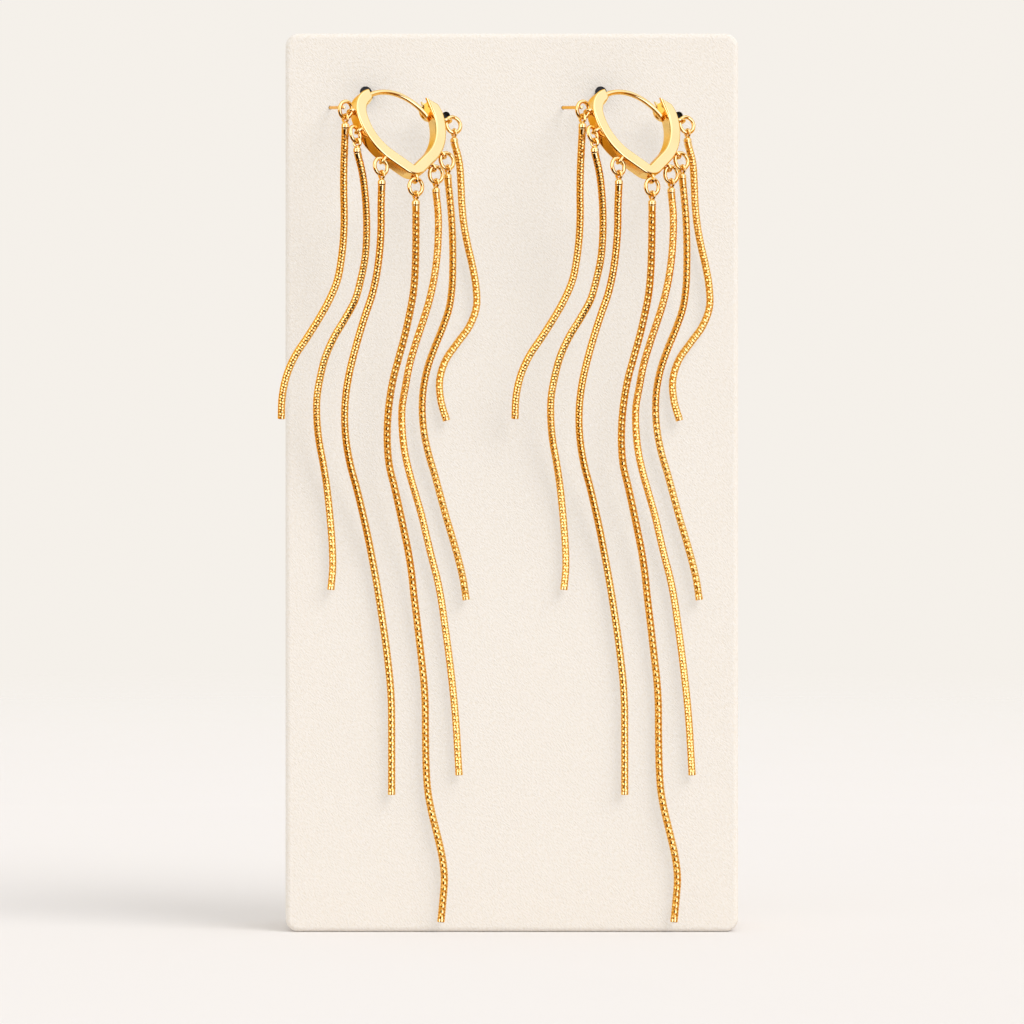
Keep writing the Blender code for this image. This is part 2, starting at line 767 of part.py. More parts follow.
def block_outline():
    """The block seen from the front, standing on its foot."""
    half = BLOCK_WIDTH / 2 - BLOCK_CORNER_RADIUS
    low = BLOCK_CORNER_RADIUS
    high = BLOCK_HEIGHT - BLOCK_CORNER_RADIUS
    points = []
    for x, y, start in ((half, low, -90), (half, high, 0), (-half, high, 90), (-half, low, 180)):
        begin = math.radians(start)
        points += arc(Vector((x, y)), BLOCK_CORNER_RADIUS, begin, begin + math.pi / 2, BLOCK_ARC_STEP)
    return points


def block_mesh(holes):
    """The block with rounded edges and its blind holes, each given by a frame and a radius."""
    block = prism(block_outline(), -BLOCK_DEPTH / 2, BLOCK_DEPTH / 2)
    rims = [
        edge
        for edge in block.edges
        if abs(edge.verts[0].co.z - edge.verts[1].co.z) < BLOCK_EDGE_RADIUS
    ]
    bmesh.ops.bevel(
        block,
        geom=rims,
        offset=BLOCK_EDGE_RADIUS,
        segments=BLOCK_EDGE_SEGMENTS,
        profile=ROUND_PROFILE,
        affect="EDGES",
    )
    transformed(block, Matrix.Rotation(math.pi / 2, 4, "X"))
    cuts = []
    for frame, radius in holes:
        cut_radius = radius + HOLE_CLEARANCE
        profile = ((cut_radius, -SEAT_GAP), (cut_radius, 2 * BLOCK_HOLE_DEPTH))
        cuts.append(transformed(turned(profile, ROUND_FACETS), frame))
    return carved("display_block", block, cut=cuts)


def make_earring(side, centre_x, shared, materials):
    """One earring with all that holds it. Returns the holes that it needs in the block."""
    gold, rubber = materials
    height = BLOCK_HEIGHT - HOOP_BELOW_TOP
    hoop = Matrix.Translation((centre_x, BLOCK_FACE_Y - HOOP_STANDOFF, height)) @ TILT
    root = bpy.data.objects.new(side + "_earring", None)
    bpy.context.scene.collection.objects.link(root)
    root.matrix_world = hoop
    bpy.context.view_layer.update()
    hinge = hinge_place()
    place(side + "_hoop_frame", shared["hoop"], hoop, gold, root)
    pin_frame = hoop @ Matrix.Translation((hinge.x, hinge.y, 0))
    wire_frame = hoop @ Matrix.Translation((hinge.x, hinge.y, MID_DEPTH))
    place(side + "_ear_wire", shared["wire"], wire_frame, gold, root)
    place(side + "_hinge_pin", shared["pin"], pin_frame, gold, root)
    first_ring = None
    for number, (row, route) in enumerate(zip(shared["lugs"], CHAIN_ROUTES), start=1):
        ring = ring_frame(row, hoop)
        cap = cap_frame(row, ring)
        first_ring = first_ring or ring
        place(f"{side}_ring_{number}", shared["ring"], ring, gold, root)
        place(f"{side}_cap_{number}", shared["cap"], cap, gold, root)
        make_chain(f"{side}_chain_{number}", chain_top(cap), route, gold, root)
    holes = []
    pegs = (
        ("a", (PEG_A_RIGHT, PEG_A_UP), PEG_A_RADIUS),
        ("b", (PEG_B_RIGHT, PEG_B_UP), PEG_B_RADIUS),
    )
    for letter, across, radius in pegs:
        start = peg_start(across, hoop)
        place(f"{side}_hold_peg_{letter}", peg_mesh(hoop, across, radius), Matrix.Translation(start), rubber)
        holes.append((aligned(start, start - Vector((0, PEG_LENGTH, 0))), radius))
    start, end = hold_pin_line(hoop, first_ring)
    rod = turned(((HOLD_PIN_RADIUS, 0.0), (HOLD_PIN_RADIUS, (end - start).length)), ROUND_FACETS)
    place(side + "_hold_pin", closed_mesh("hold_pin", rod), aligned(start, end), gold)
    holes.append((aligned(start, end), HOLD_PIN_RADIUS))
    return holes


def main():
    """Build the block and both earrings."""
    remove_scene_objects()
    gold = make_material("gold", (0.92, 0.62, 0.24), 0.18, 1.0)
    leather = make_material("leatherette", (0.90, 0.84, 0.76), 0.7, 0.0)
    rubber = make_material("black_rubber", (0.02, 0.02, 0.02), 0.5, 0.0)
    shared = {
        "hoop": hoop_mesh(),
        "wire": wire_mesh(),
        "pin": pin_mesh(),
        "ring": closed_mesh("ring", torus(RING_RADIUS, RING_WIRE, RING_SEGMENTS, WIRE_FACETS)),
        "cap": cap_mesh(),
        "lugs": lug_rows(),
    }
    holes = []
    for side, sign in (("left", -1), ("right", 1)):
        centre_x = PAIR_OFFSET + sign * PAIR_SPACING / 2
        holes += make_earring(side, centre_x, shared, (gold, rubber))
    place("display_block", block_mesh(holes), Matrix.Identity(4), leather)


main()
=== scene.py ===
"""Dresses a packed pair of dangle earrings: fine shapes, finishes, a studio and a camera.

Lengths are in metres, +Z is up and the display block's face looks along -Y. Each band is modelled in its
own plane, x to the right and y up, with z towards the viewer, and then put where the frame has its hinge.
"""

import contextlib
import json
import math

import bmesh
import bpy
import numpy as np
from bpy.props import FloatProperty, FloatVectorProperty, IntProperty, PointerProperty
from mathutils import Matrix, Vector


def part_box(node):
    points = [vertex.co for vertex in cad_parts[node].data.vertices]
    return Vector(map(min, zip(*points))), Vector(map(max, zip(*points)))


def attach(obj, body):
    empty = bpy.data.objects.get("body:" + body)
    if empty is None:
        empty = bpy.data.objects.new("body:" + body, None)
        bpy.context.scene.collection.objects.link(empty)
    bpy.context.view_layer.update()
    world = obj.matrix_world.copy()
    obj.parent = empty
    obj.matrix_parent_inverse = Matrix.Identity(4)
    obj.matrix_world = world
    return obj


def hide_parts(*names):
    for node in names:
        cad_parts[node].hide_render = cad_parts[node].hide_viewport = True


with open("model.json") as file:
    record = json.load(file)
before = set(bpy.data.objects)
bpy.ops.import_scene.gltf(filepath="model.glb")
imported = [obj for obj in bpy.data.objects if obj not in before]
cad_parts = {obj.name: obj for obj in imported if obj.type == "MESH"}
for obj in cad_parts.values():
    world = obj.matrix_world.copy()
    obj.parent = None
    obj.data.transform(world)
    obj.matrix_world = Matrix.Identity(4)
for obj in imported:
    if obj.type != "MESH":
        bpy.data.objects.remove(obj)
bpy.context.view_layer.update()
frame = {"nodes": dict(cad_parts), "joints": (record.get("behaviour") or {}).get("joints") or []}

bl_info = {
    "name": "Dangle Earring Dresser",
    "version": (1, 0, 0),
    "blender": (4, 5, 0),
    "location": "3D View > Sidebar > Earrings",
    "description": "Fine shapes, finishes and a small studio for a pair of dangle earrings on a block",
    "category": "Object",
}

MM = 0.001
UM = 0.000001
RIGHT = Vector((1, 0, 0))
UP = Vector((0, 0, 1))
ARC_STEP = math.radians(6.0)
SIDES = ("left", "right")
STRANDS = range(1, 8)

# How fine the noise of each finish is, in cycles a metre
CLOUDS = 260.0
WAVES = 420.0
SCRATCHES = (9000.0, 900.0, 9000.0)
SCRATCH_TURN = (0.3, 0.8, 0.5)
MOTTLE = 90.0
PORES = 5200.0
DUST = 1800.0
TROWEL = 420.0
PATCHES = 22.0

# One row for each lug: its bearing round the band, and how far its bar stands off the band as a share of
# the lug's radius
LUGS = (
    (160.0, 1.78),
    (180.5, 1.67),
    (223.0, 1.67),
    (270.0, 1.67),
    (303.0, 1.67),
    (330.0, 1.67),
    (14.5, 2.55),
)

# Where the joints of even and odd jump rings are, seen from their middles
JOINTS_AT = ((0.3, 0.6, 0.8), (0, 0.4, 1))

# Outline of an end cap from its open rim up to its neck: height and radius, in millimetres
CAP_ROWS = (
    (0.00, 0.52),
    (0.015, 0.56),
    (0.05, 0.58),
    (0.12, 0.58),
    (0.17, 0.56),
    (0.40, 0.56),
    (0.49, 0.54),
    (0.58, 0.49),
    (0.66, 0.42),
    (0.73, 0.34),
    (0.80, 0.29),
    (0.87, 0.27),
)

# Outline across one chain link: along the chain and out from its middle, as shares of pitch and radius
LINK_ROWS = (
    (-0.38, 0.86),
    (-0.49, 0.93),
    (-0.10, 0.985),
    (0.22, 1.0),
    (0.47, 0.965),
    (0.38, 0.86),
)

# Six neighbouring links are never quite in line: turn about the chain and two tilts, in degrees
LINK_TURNS = (
    (4.0, 1.2, -0.9),
    (-5.0, -1.0, 1.3),
    (3.0, -1.5, -0.6),
    (-2.0, 1.3, 1.0),
    (5.0, 0.3, -1.5),
    (-4.0, -0.8, 0.8),
)
MOST_TURN = max(abs(row[0]) for row in LINK_TURNS)
LINK_SMOOTH = 14.0

# Turns towards the tip at which the ear wire's rounded end has a ring of corners, in degrees
TIP_TURNS = (20, 40, 58, 74, 84)

# The tent's own colour from its span below the horizon to as far above, before its strength
TENT_STRENGTH = 2.0
TENT_SPAN = 70.0
TENT_RISE = (
    (0.0, (0.16, 0.08, 0.02)),
    (0.35, (0.32, 0.155, 0.015)),
    (0.5, (0.40, 0.22, 0.025)),
    (0.7, (0.45, 0.34, 0.13)),
    (1.0, (0.46, 0.44, 0.38)),
)

# Panels of the light tent that only polished metal sees, each over the ones before: bearing from the
# camera's side to the right, height above the horizon, half width, half height and soft rim in degrees,
# then the colour
TENT_PANELS = (
    (-140.0, 15.0, 30.0, 40.0, 16.0, (1.00, 0.96, 0.80)),
    (0.0, -42.0, 80.0, 21.0, 4.0, (0.03, 0.012, 0.003)),
    (-45.0, 21.0, 16.0, 28.0, 4.0, (2.2, 2.7, 3.7)),
    (40.0, 66.0, 100.0, 34.0, 10.0, (1.35, 1.66, 2.30)),
    (34.0, 6.0, 19.0, 38.0, 5.0, (1.85, 2.2, 3.5)),
    (88.0, 36.0, 26.0, 22.0, 8.0, (1.06, 1.28, 1.86)),
    (64.0, -8.0, 9.0, 26.0, 4.0, (0.40, 0.18, 0.04)),
    (-14.0, 0.0, 6.0, 26.0, 3.0, (0.04, 0.016, 0.004)),
)


def length(default, name, words):
    """A property that holds a length in metres, its default given in millimetres."""
    limits = {"default": default * MM, "min": 0.0, "unit": "LENGTH", "precision": 6}
    return FloatProperty(name=name, description=words, **limits)


def angle(default, name, words):
    """A property that holds an angle, its default given in degrees."""
    return FloatProperty(name=name, description=words, default=math.radians(default), unit="ROTATION")


def colour(default, name, words):
    """A property that holds a linear colour."""
    limits = {"default": default, "min": 0.0, "max": 2.0, "subtype": "COLOR"}
    return FloatVectorProperty(name=name, description=words, **limits)


def share(default, name, words):
    """A property that holds a plain factor."""
    return FloatProperty(name=name, description=words, default=default, min=0.0)


class BandSizes(bpy.types.PropertyGroup):
    """Sizes of the V-shaped band, its catch and its lugs."""

    width: length(1.75, "Width", "Width of the band seen from the front")
    depth: length(2.0, "Depth", "Depth of the band from front to back")
    edge_radius: length(0.30, "Edge radius", "Rounding of the band's long edges")
    roll: angle(0.9, "Roll", "Turn of the band in its own plane")
    shoulder_x: length(3.7, "Shoulder right", "Centre of a shoulder's arc, to the side")
    shoulder_y: length(2.4, "Shoulder up", "Centre of a shoulder's arc, above the middle")
    shoulder_radius: length(4.0, "Shoulder radius", "Outer radius of the shoulders")
    limb_radius: length(8.8, "Limb radius", "Outer radius of the curved limbs")
    limb_slope: angle(35.5, "Limb slope", "Slope of the straight limbs at the point")
    point_radius: length(2.6, "Point radius", "Outer rounding at the point of the V")
    left_end: angle(79.0, "Left end", "Sweep of the left shoulder up to the hinge end")
    left_taper: angle(62.0, "Left taper", "Sweep of the left shoulder where it starts to narrow")
    left_width: length(1.4, "Left end width", "Width left at the hinge end")
    right_end: angle(30.0, "Right end", "Sweep of the right shoulder's round outer side")
    right_inner: angle(12.0, "Right inner", "Sweep of the right shoulder's round inner side")
    tip_x: length(1.75, "Tip right", "The right tip, to the right of the shoulder's centre")
    tip_y: length(3.0, "Tip up", "The right tip, above the shoulder's centre")
    lug_radius: length(0.55, "Lug radius", "Radius of a soldered lug's bar")
    lug_wire: length(0.22, "Lug wire", "Thickness of a lug's bar from its middle")
    lug_setback: length(0.78, "Lug setback", "How far the lugs sit behind the band's face")
    tab_radius: length(1.25, "Tab radius", "Radius of the tab behind the catch")
    tab_inset: length(1.32, "Tab inset", "How far the tab's centre lies inside the band's outer side")
    tab_angle: angle(26.5, "Tab angle", "Bearing of the tab round the right shoulder")
    tab_round: length(0.08, "Tab rounding", "Rounding of the tab's edges")


class WireSizes(bpy.types.PropertyGroup):
    """Sizes of the ear wire, its hinge and its slot."""

    radius: length(0.36, "Wire radius", "Radius of the ear wire")
    arc_radius: length(7.4, "Arc radius", "Radius of the wire's arch")
    reach: length(10.45, "Reach", "From the hinge to the wire's tip")
    drop: angle(-13.2, "Drop", "Direction from the hinge to the tip")
    hinge_angle: angle(113.5, "Hinge angle", "Bearing of the hinge round the left shoulder")
    hinge_inset: length(0.93, "Hinge inset", "How far the hinge lies inside the band's outer side")
    knuckle: length(0.5, "Knuckle radius", "Radius of the hinge knuckle")
    knuckle_round: length(0.06, "Knuckle rounding", "Rounding of the knuckle's edges")
    pin: length(0.2, "Pin radius", "Radius of the hinge pin")
    pin_round: length(0.05, "Pin rounding", "Rounding of the hinge pin's ends")
    pin_wall: length(0.2, "Pin wall", "Metal left in front of the pin's blind hole")
    clearance: length(0.15, "Clearance", "Air beside the wire in its slots")
    bore_clearance: length(0.1, "Bore clearance", "Air round the hinge pin")
    opening: angle(60.0, "Opening", "How far the wire swings open")
    slot_low: angle(-17.4, "Slot low", "Lower end of the catch's slot seen from the hinge")
    slot_high: angle(14.0, "Slot high", "Upper end of the catch's slot seen from the hinge")
    slot_throat: length(3.2, "Slot throat", "How far the slot reaches towards the hinge")


class LinkSizes(bpy.types.PropertyGroup):
    """Sizes of the jump rings, end caps and snake chains."""

    ring_radius: length(1.15, "Ring radius", "Radius of a jump ring's wire line")
    ring_wire: length(0.28, "Ring wire", "Radius of a jump ring's wire")
    ring_round: length(0.03, "Ring rounding", "Rounding of the wire's ends at a jump ring's joint")
    loop_radius: length(0.54, "Loop radius", "Radius of an end cap's loop")
    loop_wire: length(0.19, "Loop wire", "Radius of the loop's wire")
    cap_drop: length(1.35, "Cap drop", "From the loop's centre to the cap's open rim")
    chain_radius: length(0.54, "Chain radius", "Radius of a snake chain")
    pitch: length(0.42, "Pitch", "Distance from one link to the next")
    zigzag: length(0.08, "Zigzag", "How far a link's edge swings along the chain")
    dent: share(0.972, "Dent", "Share of the radius left where a link's wave is deepest")
    waves: IntProperty(name="Waves", description="Waves round a link", default=4, min=2, max=8)
    end_collar: length(0.5, "End collar", "Length of the plain collar at a chain's free end")
    top_collar: length(0.9, "Top collar", "Length of the plain collar at a chain's top")
    collar_round: length(0.09, "Collar rounding", "Rounding of the collars' edges")
    core: share(0.88, "Core", "Radius of the tube inside the links as a share of the chain's radius")
    core_inset: length(0.1, "Core inset", "How far the tube inside ends short of the chain's ends")


class BlockSizes(bpy.types.PropertyGroup):
    """Sizes of the block's rounding and of what it holds the earrings with."""

    corner: length(1.9, "Corner radius", "Rounding of the block's corners seen from the front")
    edge: length(0.8, "Edge radius", "Rounding of the edges round its face and back")
    hole_clearance: length(0.04, "Hole clearance", "Air round a peg or pin in its hole")
    hole_mouth: length(0.3, "Hole mouth", "How far the hole is cut past the near end of its peg or pin")
    seat_gap: length(0.3, "Seat gap", "Air between a peg's slanted end and the band's back")
    peg_round: length(0.1, "Peg rounding", "Rounding of a peg's ends")
    pin_round: length(0.14, "Pin rounding", "Rounding of a holding pin's ends")


class Finishes(bpy.types.PropertyGroup):
    """Colours and gloss of the finishes."""

    gold: colour((0.97, 0.67, 0.25), "Gold", "Colour of the polished gold plate")
    gold_edge: colour((1.0, 0.65, 0.22), "Gold edge", "Tint of the gold seen along its surface")
    # Deeper gold that the cloudy mottle blends towards on all gold; on chains it is also the painted shade
    # in the grooves between links
    gold_mottle_and_shade: colour((0.86, 0.45, 0.07), "Gold mottle and groove shade", "Colour of the gold's mottle and of the painted shade in chain grooves")
    polish: share(0.10, "Roughness", "Roughness of the polished gold")
    wave: length(0.0008, "Wave", "Depth of the soft waves in the plate")
    scratch: length(0.00005, "Scratch", "Depth of the hair-fine marks in the plate")
    leather: colour((0.914, 0.869, 0.811), "Leatherette", "Colour of the block's wrap")
    # Colour of the grooves between the grains: partly the wrap's own grain tone, partly painted shade
    leather_shade: colour((0.82, 0.735, 0.61), "Leatherette grooves", "Colour between the wrap's grains, partly painted shade")
    grain: length(0.20, "Grain", "Spacing of the wrap's grain across its streaks")
    grain_stretch: share(0.42, "Grain stretch", "Width of a streak as a share of its length")
    grain_slant: angle(48.0, "Grain slant", "Fall of the streaks to the right")
    grain_depth: length(0.14, "Grain depth", "Depth of the wrap's grain")
    rubber: colour((0.018, 0.017, 0.016), "Rubber", "Colour of the black pegs")
    dust: colour((0.08, 0.07, 0.065), "Dust", "Colour of the dust on them")


class StudioSizes(bpy.types.PropertyGroup):
    """Camera, lights and floor."""

    lens: FloatProperty(name="Lens", description="Focal length", default=171.5, unit="CAMERA")
    sensor: FloatProperty(name="Sensor", description="Sensor width", default=36.0, unit="CAMERA")
    distance: length(700.0, "Distance", "From the camera to the block's face")
    eye_x: FloatProperty(
        name="Eye right", description="Camera's place across", default=0.00003, unit="LENGTH"
    )
    eye_z: length(60.28, "Eye height", "Camera's height above the foot")
    floor: colour((0.83, 0.805, 0.787), "Floor", "Colour of the floor")
    backdrop: colour((0.913, 0.875, 0.823), "Backdrop", "Colour behind everything")
    fill: share(0.89, "Fill", "Strength of the light from all round")
    fill_tint: colour((1.0, 0.985, 0.965), "Fill tint", "Colour of the light from all round")
    sun: share(1.1, "Sun", "Strength of the even light from the upper right")
    sun_tint: colour((1.0, 0.975, 0.95), "Sun tint", "Colour of the even light")
    sun_width: angle(40.0, "Sun width", "Width of the even light, for soft shadows")
    sun_from: FloatVectorProperty(
        name="Sun from", description="Way towards the even light", default=(0.70, -0.60, 0.95)
    )
    floor_radius: length(1600.0, "Floor radius", "Radius of the floor")
    floor_fade: length(300.0, "Floor fade", "Radius at which the floor starts to fade into the backdrop")


class Value:
    """One output of a node, with arithmetic that adds Math nodes."""

    def __init__(self, nodes, socket):
        self.nodes = nodes
        self.socket = socket

    def math(self, operation, *others):
        return self.nodes.make("ShaderNodeMath", {"operation": operation}, dict(enumerate((self, *others))))

    def __add__(self, other):
        return self.math("ADD", other)

    __radd__ = __add__

    def __mul__(self, other):
        return self.math("MULTIPLY", other)

    __rmul__ = __mul__

    def __sub__(self, other):
        return self.math("SUBTRACT", other)

    def __rsub__(self, other):
        return self.nodes.make("ShaderNodeMath", {"operation": "SUBTRACT"}, {0: other, 1: self})

    def __truediv__(self, other):
        return self.math("DIVIDE", other)

    def clamped(self):
        return self.nodes.make("ShaderNodeMath", {"operation": "ADD", "use_clamp": True}, {0: self, 1: 0.0})


class Nodes:
    """A node tree that any node is added to by one method."""

    def __init__(self, tree):
        self.tree = tree

    def make(self, kind, settings=None, inputs=None, output=0):
        """Add a node, set it up, feed its sockets and return one of its outputs."""
        node = self.tree.nodes.new(kind)
        for key, value in (settings or {}).items():
            if key == "stops":
                self.set_stops(node.color_ramp.elements, value)
            else:
                setattr(node, key, value)
        self.fill(node, inputs or {})
        return Value(self, node.outputs[output])

    def set_stops(self, elements, stops):
        while len(elements) < len(stops):
            elements.new(1.0)
        for element, (place, tint) in zip(elements, stops):
            element.position = place
            element.color = (*tint, 1.0)

    def fill(self, node, inputs):
        """Link or set a node's input sockets."""
        for key, value in inputs.items():
            socket = node.inputs[key]
            if isinstance(value, Value):
                self.tree.links.new(value.socket, socket)
            elif hasattr(value, "__len__") and len(socket.default_value) == 4:
                socket.default_value = (*value, 1.0)
            else:
                socket.default_value = value

    def place(self):
        """The surface's own place in metres."""
        return self.make("ShaderNodeTexCoord", output="Object")

    def noise(self, vector, scale, detail=2.0, roughness=0.5):
        inputs = {"Vector": vector, "Scale": scale, "Detail": detail, "Roughness": roughness}
        return self.make("ShaderNodeTexNoise", inputs=inputs)

    def mapped(self, vector, turn=(0, 0, 0), scale=(1, 1, 1)):
        return self.make("ShaderNodeMapping", inputs={"Vector": vector, "Rotation": turn, "Scale": scale})

    def blend(self, factor, first, second):
        """A mix of two colours by a value."""
        return self.make("ShaderNodeMix", {"data_type": "RGBA"}, {0: factor, 6: first, 7: second}, 2)

    def bump(self, height, depth):
        return self.make("ShaderNodeBump", inputs={"Height": height, "Distance": depth, "Strength": 1.0})


def new_finish(name):
    """A material, its nodes and its shader."""
    material = bpy.data.materials.new(name)
    material.use_nodes = True
    nodes = Nodes(material.node_tree)
    return material, nodes, material.node_tree.nodes["Principled BSDF"]


def gold_finish(name, wavy=1.0, dulled=0.0, shade_grooves=False):
    """Polished gold plate with soft waves, hair-fine marks and a cloudy mottle; on chains, painted shade in
    the grooves.
    """
    finishes = settings().finishes
    material, nodes, shader = new_finish(name)
    place = nodes.place()
    cloud = nodes.noise(place, CLOUDS, 2.0)
    marks = nodes.noise(nodes.mapped(place, SCRATCH_TURN, SCRATCHES), 1.0, 3.0)
    waves = nodes.noise(place, WAVES, 1.0)
    groove = (cloud - 0.45).clamped() * 0.5
    rough = cloud * 0.06 + marks * 0.05 + (finishes.polish + dulled - 0.055)
    # On chains, a mark on each corner paints shade into the grooves between links and onto the inner tube,
    # blending them towards deeper gold; the tone mark varies links by how far they are turned
    if shade_grooves:
        crevice = nodes.make("ShaderNodeAttribute", {"attribute_name": "crevice"}, output="Fac")
        tone = nodes.make("ShaderNodeAttribute", {"attribute_name": "tone"}, output="Fac")
        groove = (crevice * 0.8 + tone * 0.15 + groove * 0.4 + 0.12).clamped()
        rough = rough + crevice * 0.15
    height = waves * (finishes.wave * wavy) + marks * finishes.scratch
    inputs = {
        "Base Color": nodes.blend(groove, finishes.gold, finishes.gold_mottle_and_shade),
        "Roughness": rough,
        "Normal": nodes.bump(height, 1.0),
        "Metallic": 1.0,
        "Specular Tint": finishes.gold_edge,
    }
    nodes.fill(shader, inputs)
    return material


def leather_finish():
    """Cream leatherette: slanting streaky grain with grooves darkened partly as painted shade, pores and a
    soft mottle.
    """
    finishes = settings().finishes
    material, nodes, shader = new_finish("cream leatherette")
    place = nodes.place()
    across = 1.0 / finishes.grain
    turned = nodes.mapped(place, turn=(0.0, -finishes.grain_slant, 0.0))
    stretched = nodes.mapped(turned, scale=(across * finishes.grain_stretch, across, across))
    drift = nodes.make("ShaderNodeCombineXYZ", inputs={"Z": nodes.noise(place, MOTTLE, 1.0) * 4.0})
    bent = nodes.make("ShaderNodeVectorMath", {"operation": "ADD"}, {0: stretched, 1: drift})
    streaks = nodes.noise(bent, 1.0, 2.5, 0.6)
    fine = nodes.noise(place, PORES, 2.0)
    mottle = nodes.noise(place, MOTTLE, 3.0)
    # The grooves between streaks are darkened in colour, partly as grain tone and partly as painted shade
    # that the bump alone shows too faintly; the mottle is the wrap's own tone
    shade = ((0.58 - streaks).clamped() * 1.9 + (mottle - 0.5) * 0.10).clamped()
    inputs = {
        "Base Color": nodes.blend(shade, finishes.leather, finishes.leather_shade),
        "Roughness": 0.56 + streaks * 0.16,
        "Normal": nodes.bump(streaks + fine * 0.22, finishes.grain_depth),
        "Specular IOR Level": 0.2,
    }
    nodes.fill(shader, inputs)
    return material


def rubber_finish():
    """Black rubber with a dusty bloom."""
    finishes = settings().finishes
    material, nodes, shader = new_finish("black rubber")
    dust = nodes.noise(nodes.place(), DUST, 3.0)
    inputs = {
        "Base Color": nodes.blend((dust - 0.55).clamped(), finishes.rubber, finishes.dust),
        "Roughness": 0.45 + dust * 0.2,
        "Normal": nodes.bump(dust, 8 * UM),
        "Specular IOR Level": 0.12,
    }
    nodes.fill(shader, inputs)
    return material


def floor_finish():
    """Pale plaster floor that fades into the backdrop far from the block."""
    studio = settings().studio
    material, nodes, shader = new_finish("pale floor")
    place = nodes.place()
    trowel = nodes.noise(place, TROWEL, 3.0, 0.6)
    patch = nodes.noise(place, PATCHES, 3.0)
    darker = [0.955 * part for part in studio.floor]
    inputs = {
        "Base Color": nodes.blend((patch - 0.42).clamped() * 0.3, studio.floor, darker),
        "Roughness": 0.85,
        "Normal": nodes.bump(trowel * 0.8 + patch * 0.4, 45 * UM),
        "Specular IOR Level": 0.1,
    }
    nodes.fill(shader, inputs)
    reach = nodes.make("ShaderNodeVectorMath", {"operation": "LENGTH"}, {0: place}, "Value")
    fade = ((reach - studio.floor_fade) / (0.7 * studio.floor_radius - studio.floor_fade)).clamped()
    clear = nodes.make("ShaderNodeBsdfTransparent")
    mixed = nodes.make("ShaderNodeMixShader", inputs={0: fade, 1: Value(nodes, shader.outputs[0]), 2: clear})
    nodes.fill(nodes.tree.nodes["Material Output"], {"Surface": mixed})
    return material


def add(operator, name, **sizes):
    """Add a primitive with nothing else selected, and put its place into its mesh."""
    bpy.ops.object.select_all(action="DESELECT")
    operator(**sizes)
    piece = bpy.context.object
    piece.name = name
    piece.data.name = name
    bpy.ops.object.transform_apply(location=True, rotation=True, scale=True)
    return piece


def take(pieces):
    """Select just these pieces, with the first one active."""
    bpy.ops.object.select_all(action="DESELECT")
    for piece in pieces:
        piece.select_set(True)
    bpy.context.view_layer.objects.active = pieces[0]


@contextlib.contextmanager
def editing(piece):
    """Edit mode on one piece, with all of it selected."""
    take([piece])
    bpy.ops.object.mode_set(mode="EDIT")
    bpy.ops.mesh.select_all(action="SELECT")
    yield
    bpy.ops.object.mode_set(mode="OBJECT")


def pick(piece, kind, test):
    """In edit mode, select only the verts, edges or faces that pass a test."""
    modes = {"verts": "VERT", "edges": "EDGE", "faces": "FACE"}
    bpy.ops.mesh.select_mode(type=modes[kind])
    bpy.ops.mesh.select_all(action="DESELECT")
    shape = bmesh.from_edit_mesh(piece.data)
    chosen = [item for item in getattr(shape, kind) if test(item)]
    if not chosen:
        raise RuntimeError(f"nothing to pick on {piece.name}")
    for item in chosen:
        item.select_set(True)
    bmesh.update_edit_mesh(piece.data)


def middle(item):
    """The middle of an edge or a face."""
    return sum((vert.co for vert in item.verts), Vector()) / len(item.verts)


def spread(edge, axis):
    """How far apart an edge's two ends are along an axis."""
    return abs(edge.verts[0].co[axis] - edge.verts[1].co[axis])


def extrude(way):
    """In edit mode, extrude what is selected."""
    bpy.ops.mesh.extrude_region_move(TRANSFORM_OT_translate={"value": way})


def bevel(offset, segments):
    """In edit mode, round the edges of what is selected."""
    bpy.ops.mesh.bevel(offset=offset, segments=segments, affect="EDGES")


def outwards():
    """In edit mode, select all and point its faces outwards."""
    bpy.ops.mesh.select_all(action="SELECT")
    bpy.ops.mesh.normals_make_consistent(inside=False)


def raise_rows(rows, foot, unit):
    """In edit mode, extrude what is selected up z, through rows of height and width."""
    for (height, width), (next_height, next_width) in zip(rows, rows[1:]):
        extrude((0, 0, (next_height - height) * unit))
        ratio = next_width / width
        at = (0, 0, foot + next_height * unit)
        bpy.ops.transform.resize(value=(ratio, ratio, 1), center_override=at)


def spin(centre, turn, step):
    """Spin what is selected round z, anticlockwise where the turn is positive."""
    steps = max(2, math.ceil(abs(turn) / step))
    bpy.ops.mesh.spin(steps=steps, angle=-turn, center=centre, axis=(0, 0, 1))


def modify(piece, kind, **settings):
    """Add a modifier to a piece and apply it."""
    take([piece])
    modifier = piece.modifiers.new(kind.title(), kind)
    for key, value in settings.items():
        setattr(modifier, key, value)
    bpy.ops.object.modifier_apply(modifier=modifier.name)


def soften(piece, width, segments=3):
    """Round a piece's sharp edges."""
    modify(piece, "BEVEL", width=width, segments=segments, limit_method="ANGLE", use_clamp_overlap=False)


def drop(*pieces):
    """Take helper objects away again."""
    for piece in pieces:
        bpy.data.objects.remove(piece, do_unlink=True)


def check_closed(piece):
    """Stop at a mesh that isn't closed, because cutting or joining it would do nothing."""
    shape = bmesh.new()
    shape.from_mesh(piece.data)
    closed = all(edge.is_manifold for edge in shape.edges)
    shape.free()
    if not closed:
        raise RuntimeError(f"{piece.name} is not closed")


def combine(piece, operation, tools, solver="MANIFOLD"):
    """Join other shapes to a piece, or cut them from it."""
    for tool in tools:
        check_closed(piece)
        check_closed(tool)
        modify(piece, "BOOLEAN", operation=operation, solver=solver, object=tool)
        drop(tool)


def join(pieces):
    """Several objects as one mesh."""
    take(pieces)
    bpy.ops.object.join()
    return pieces[0]


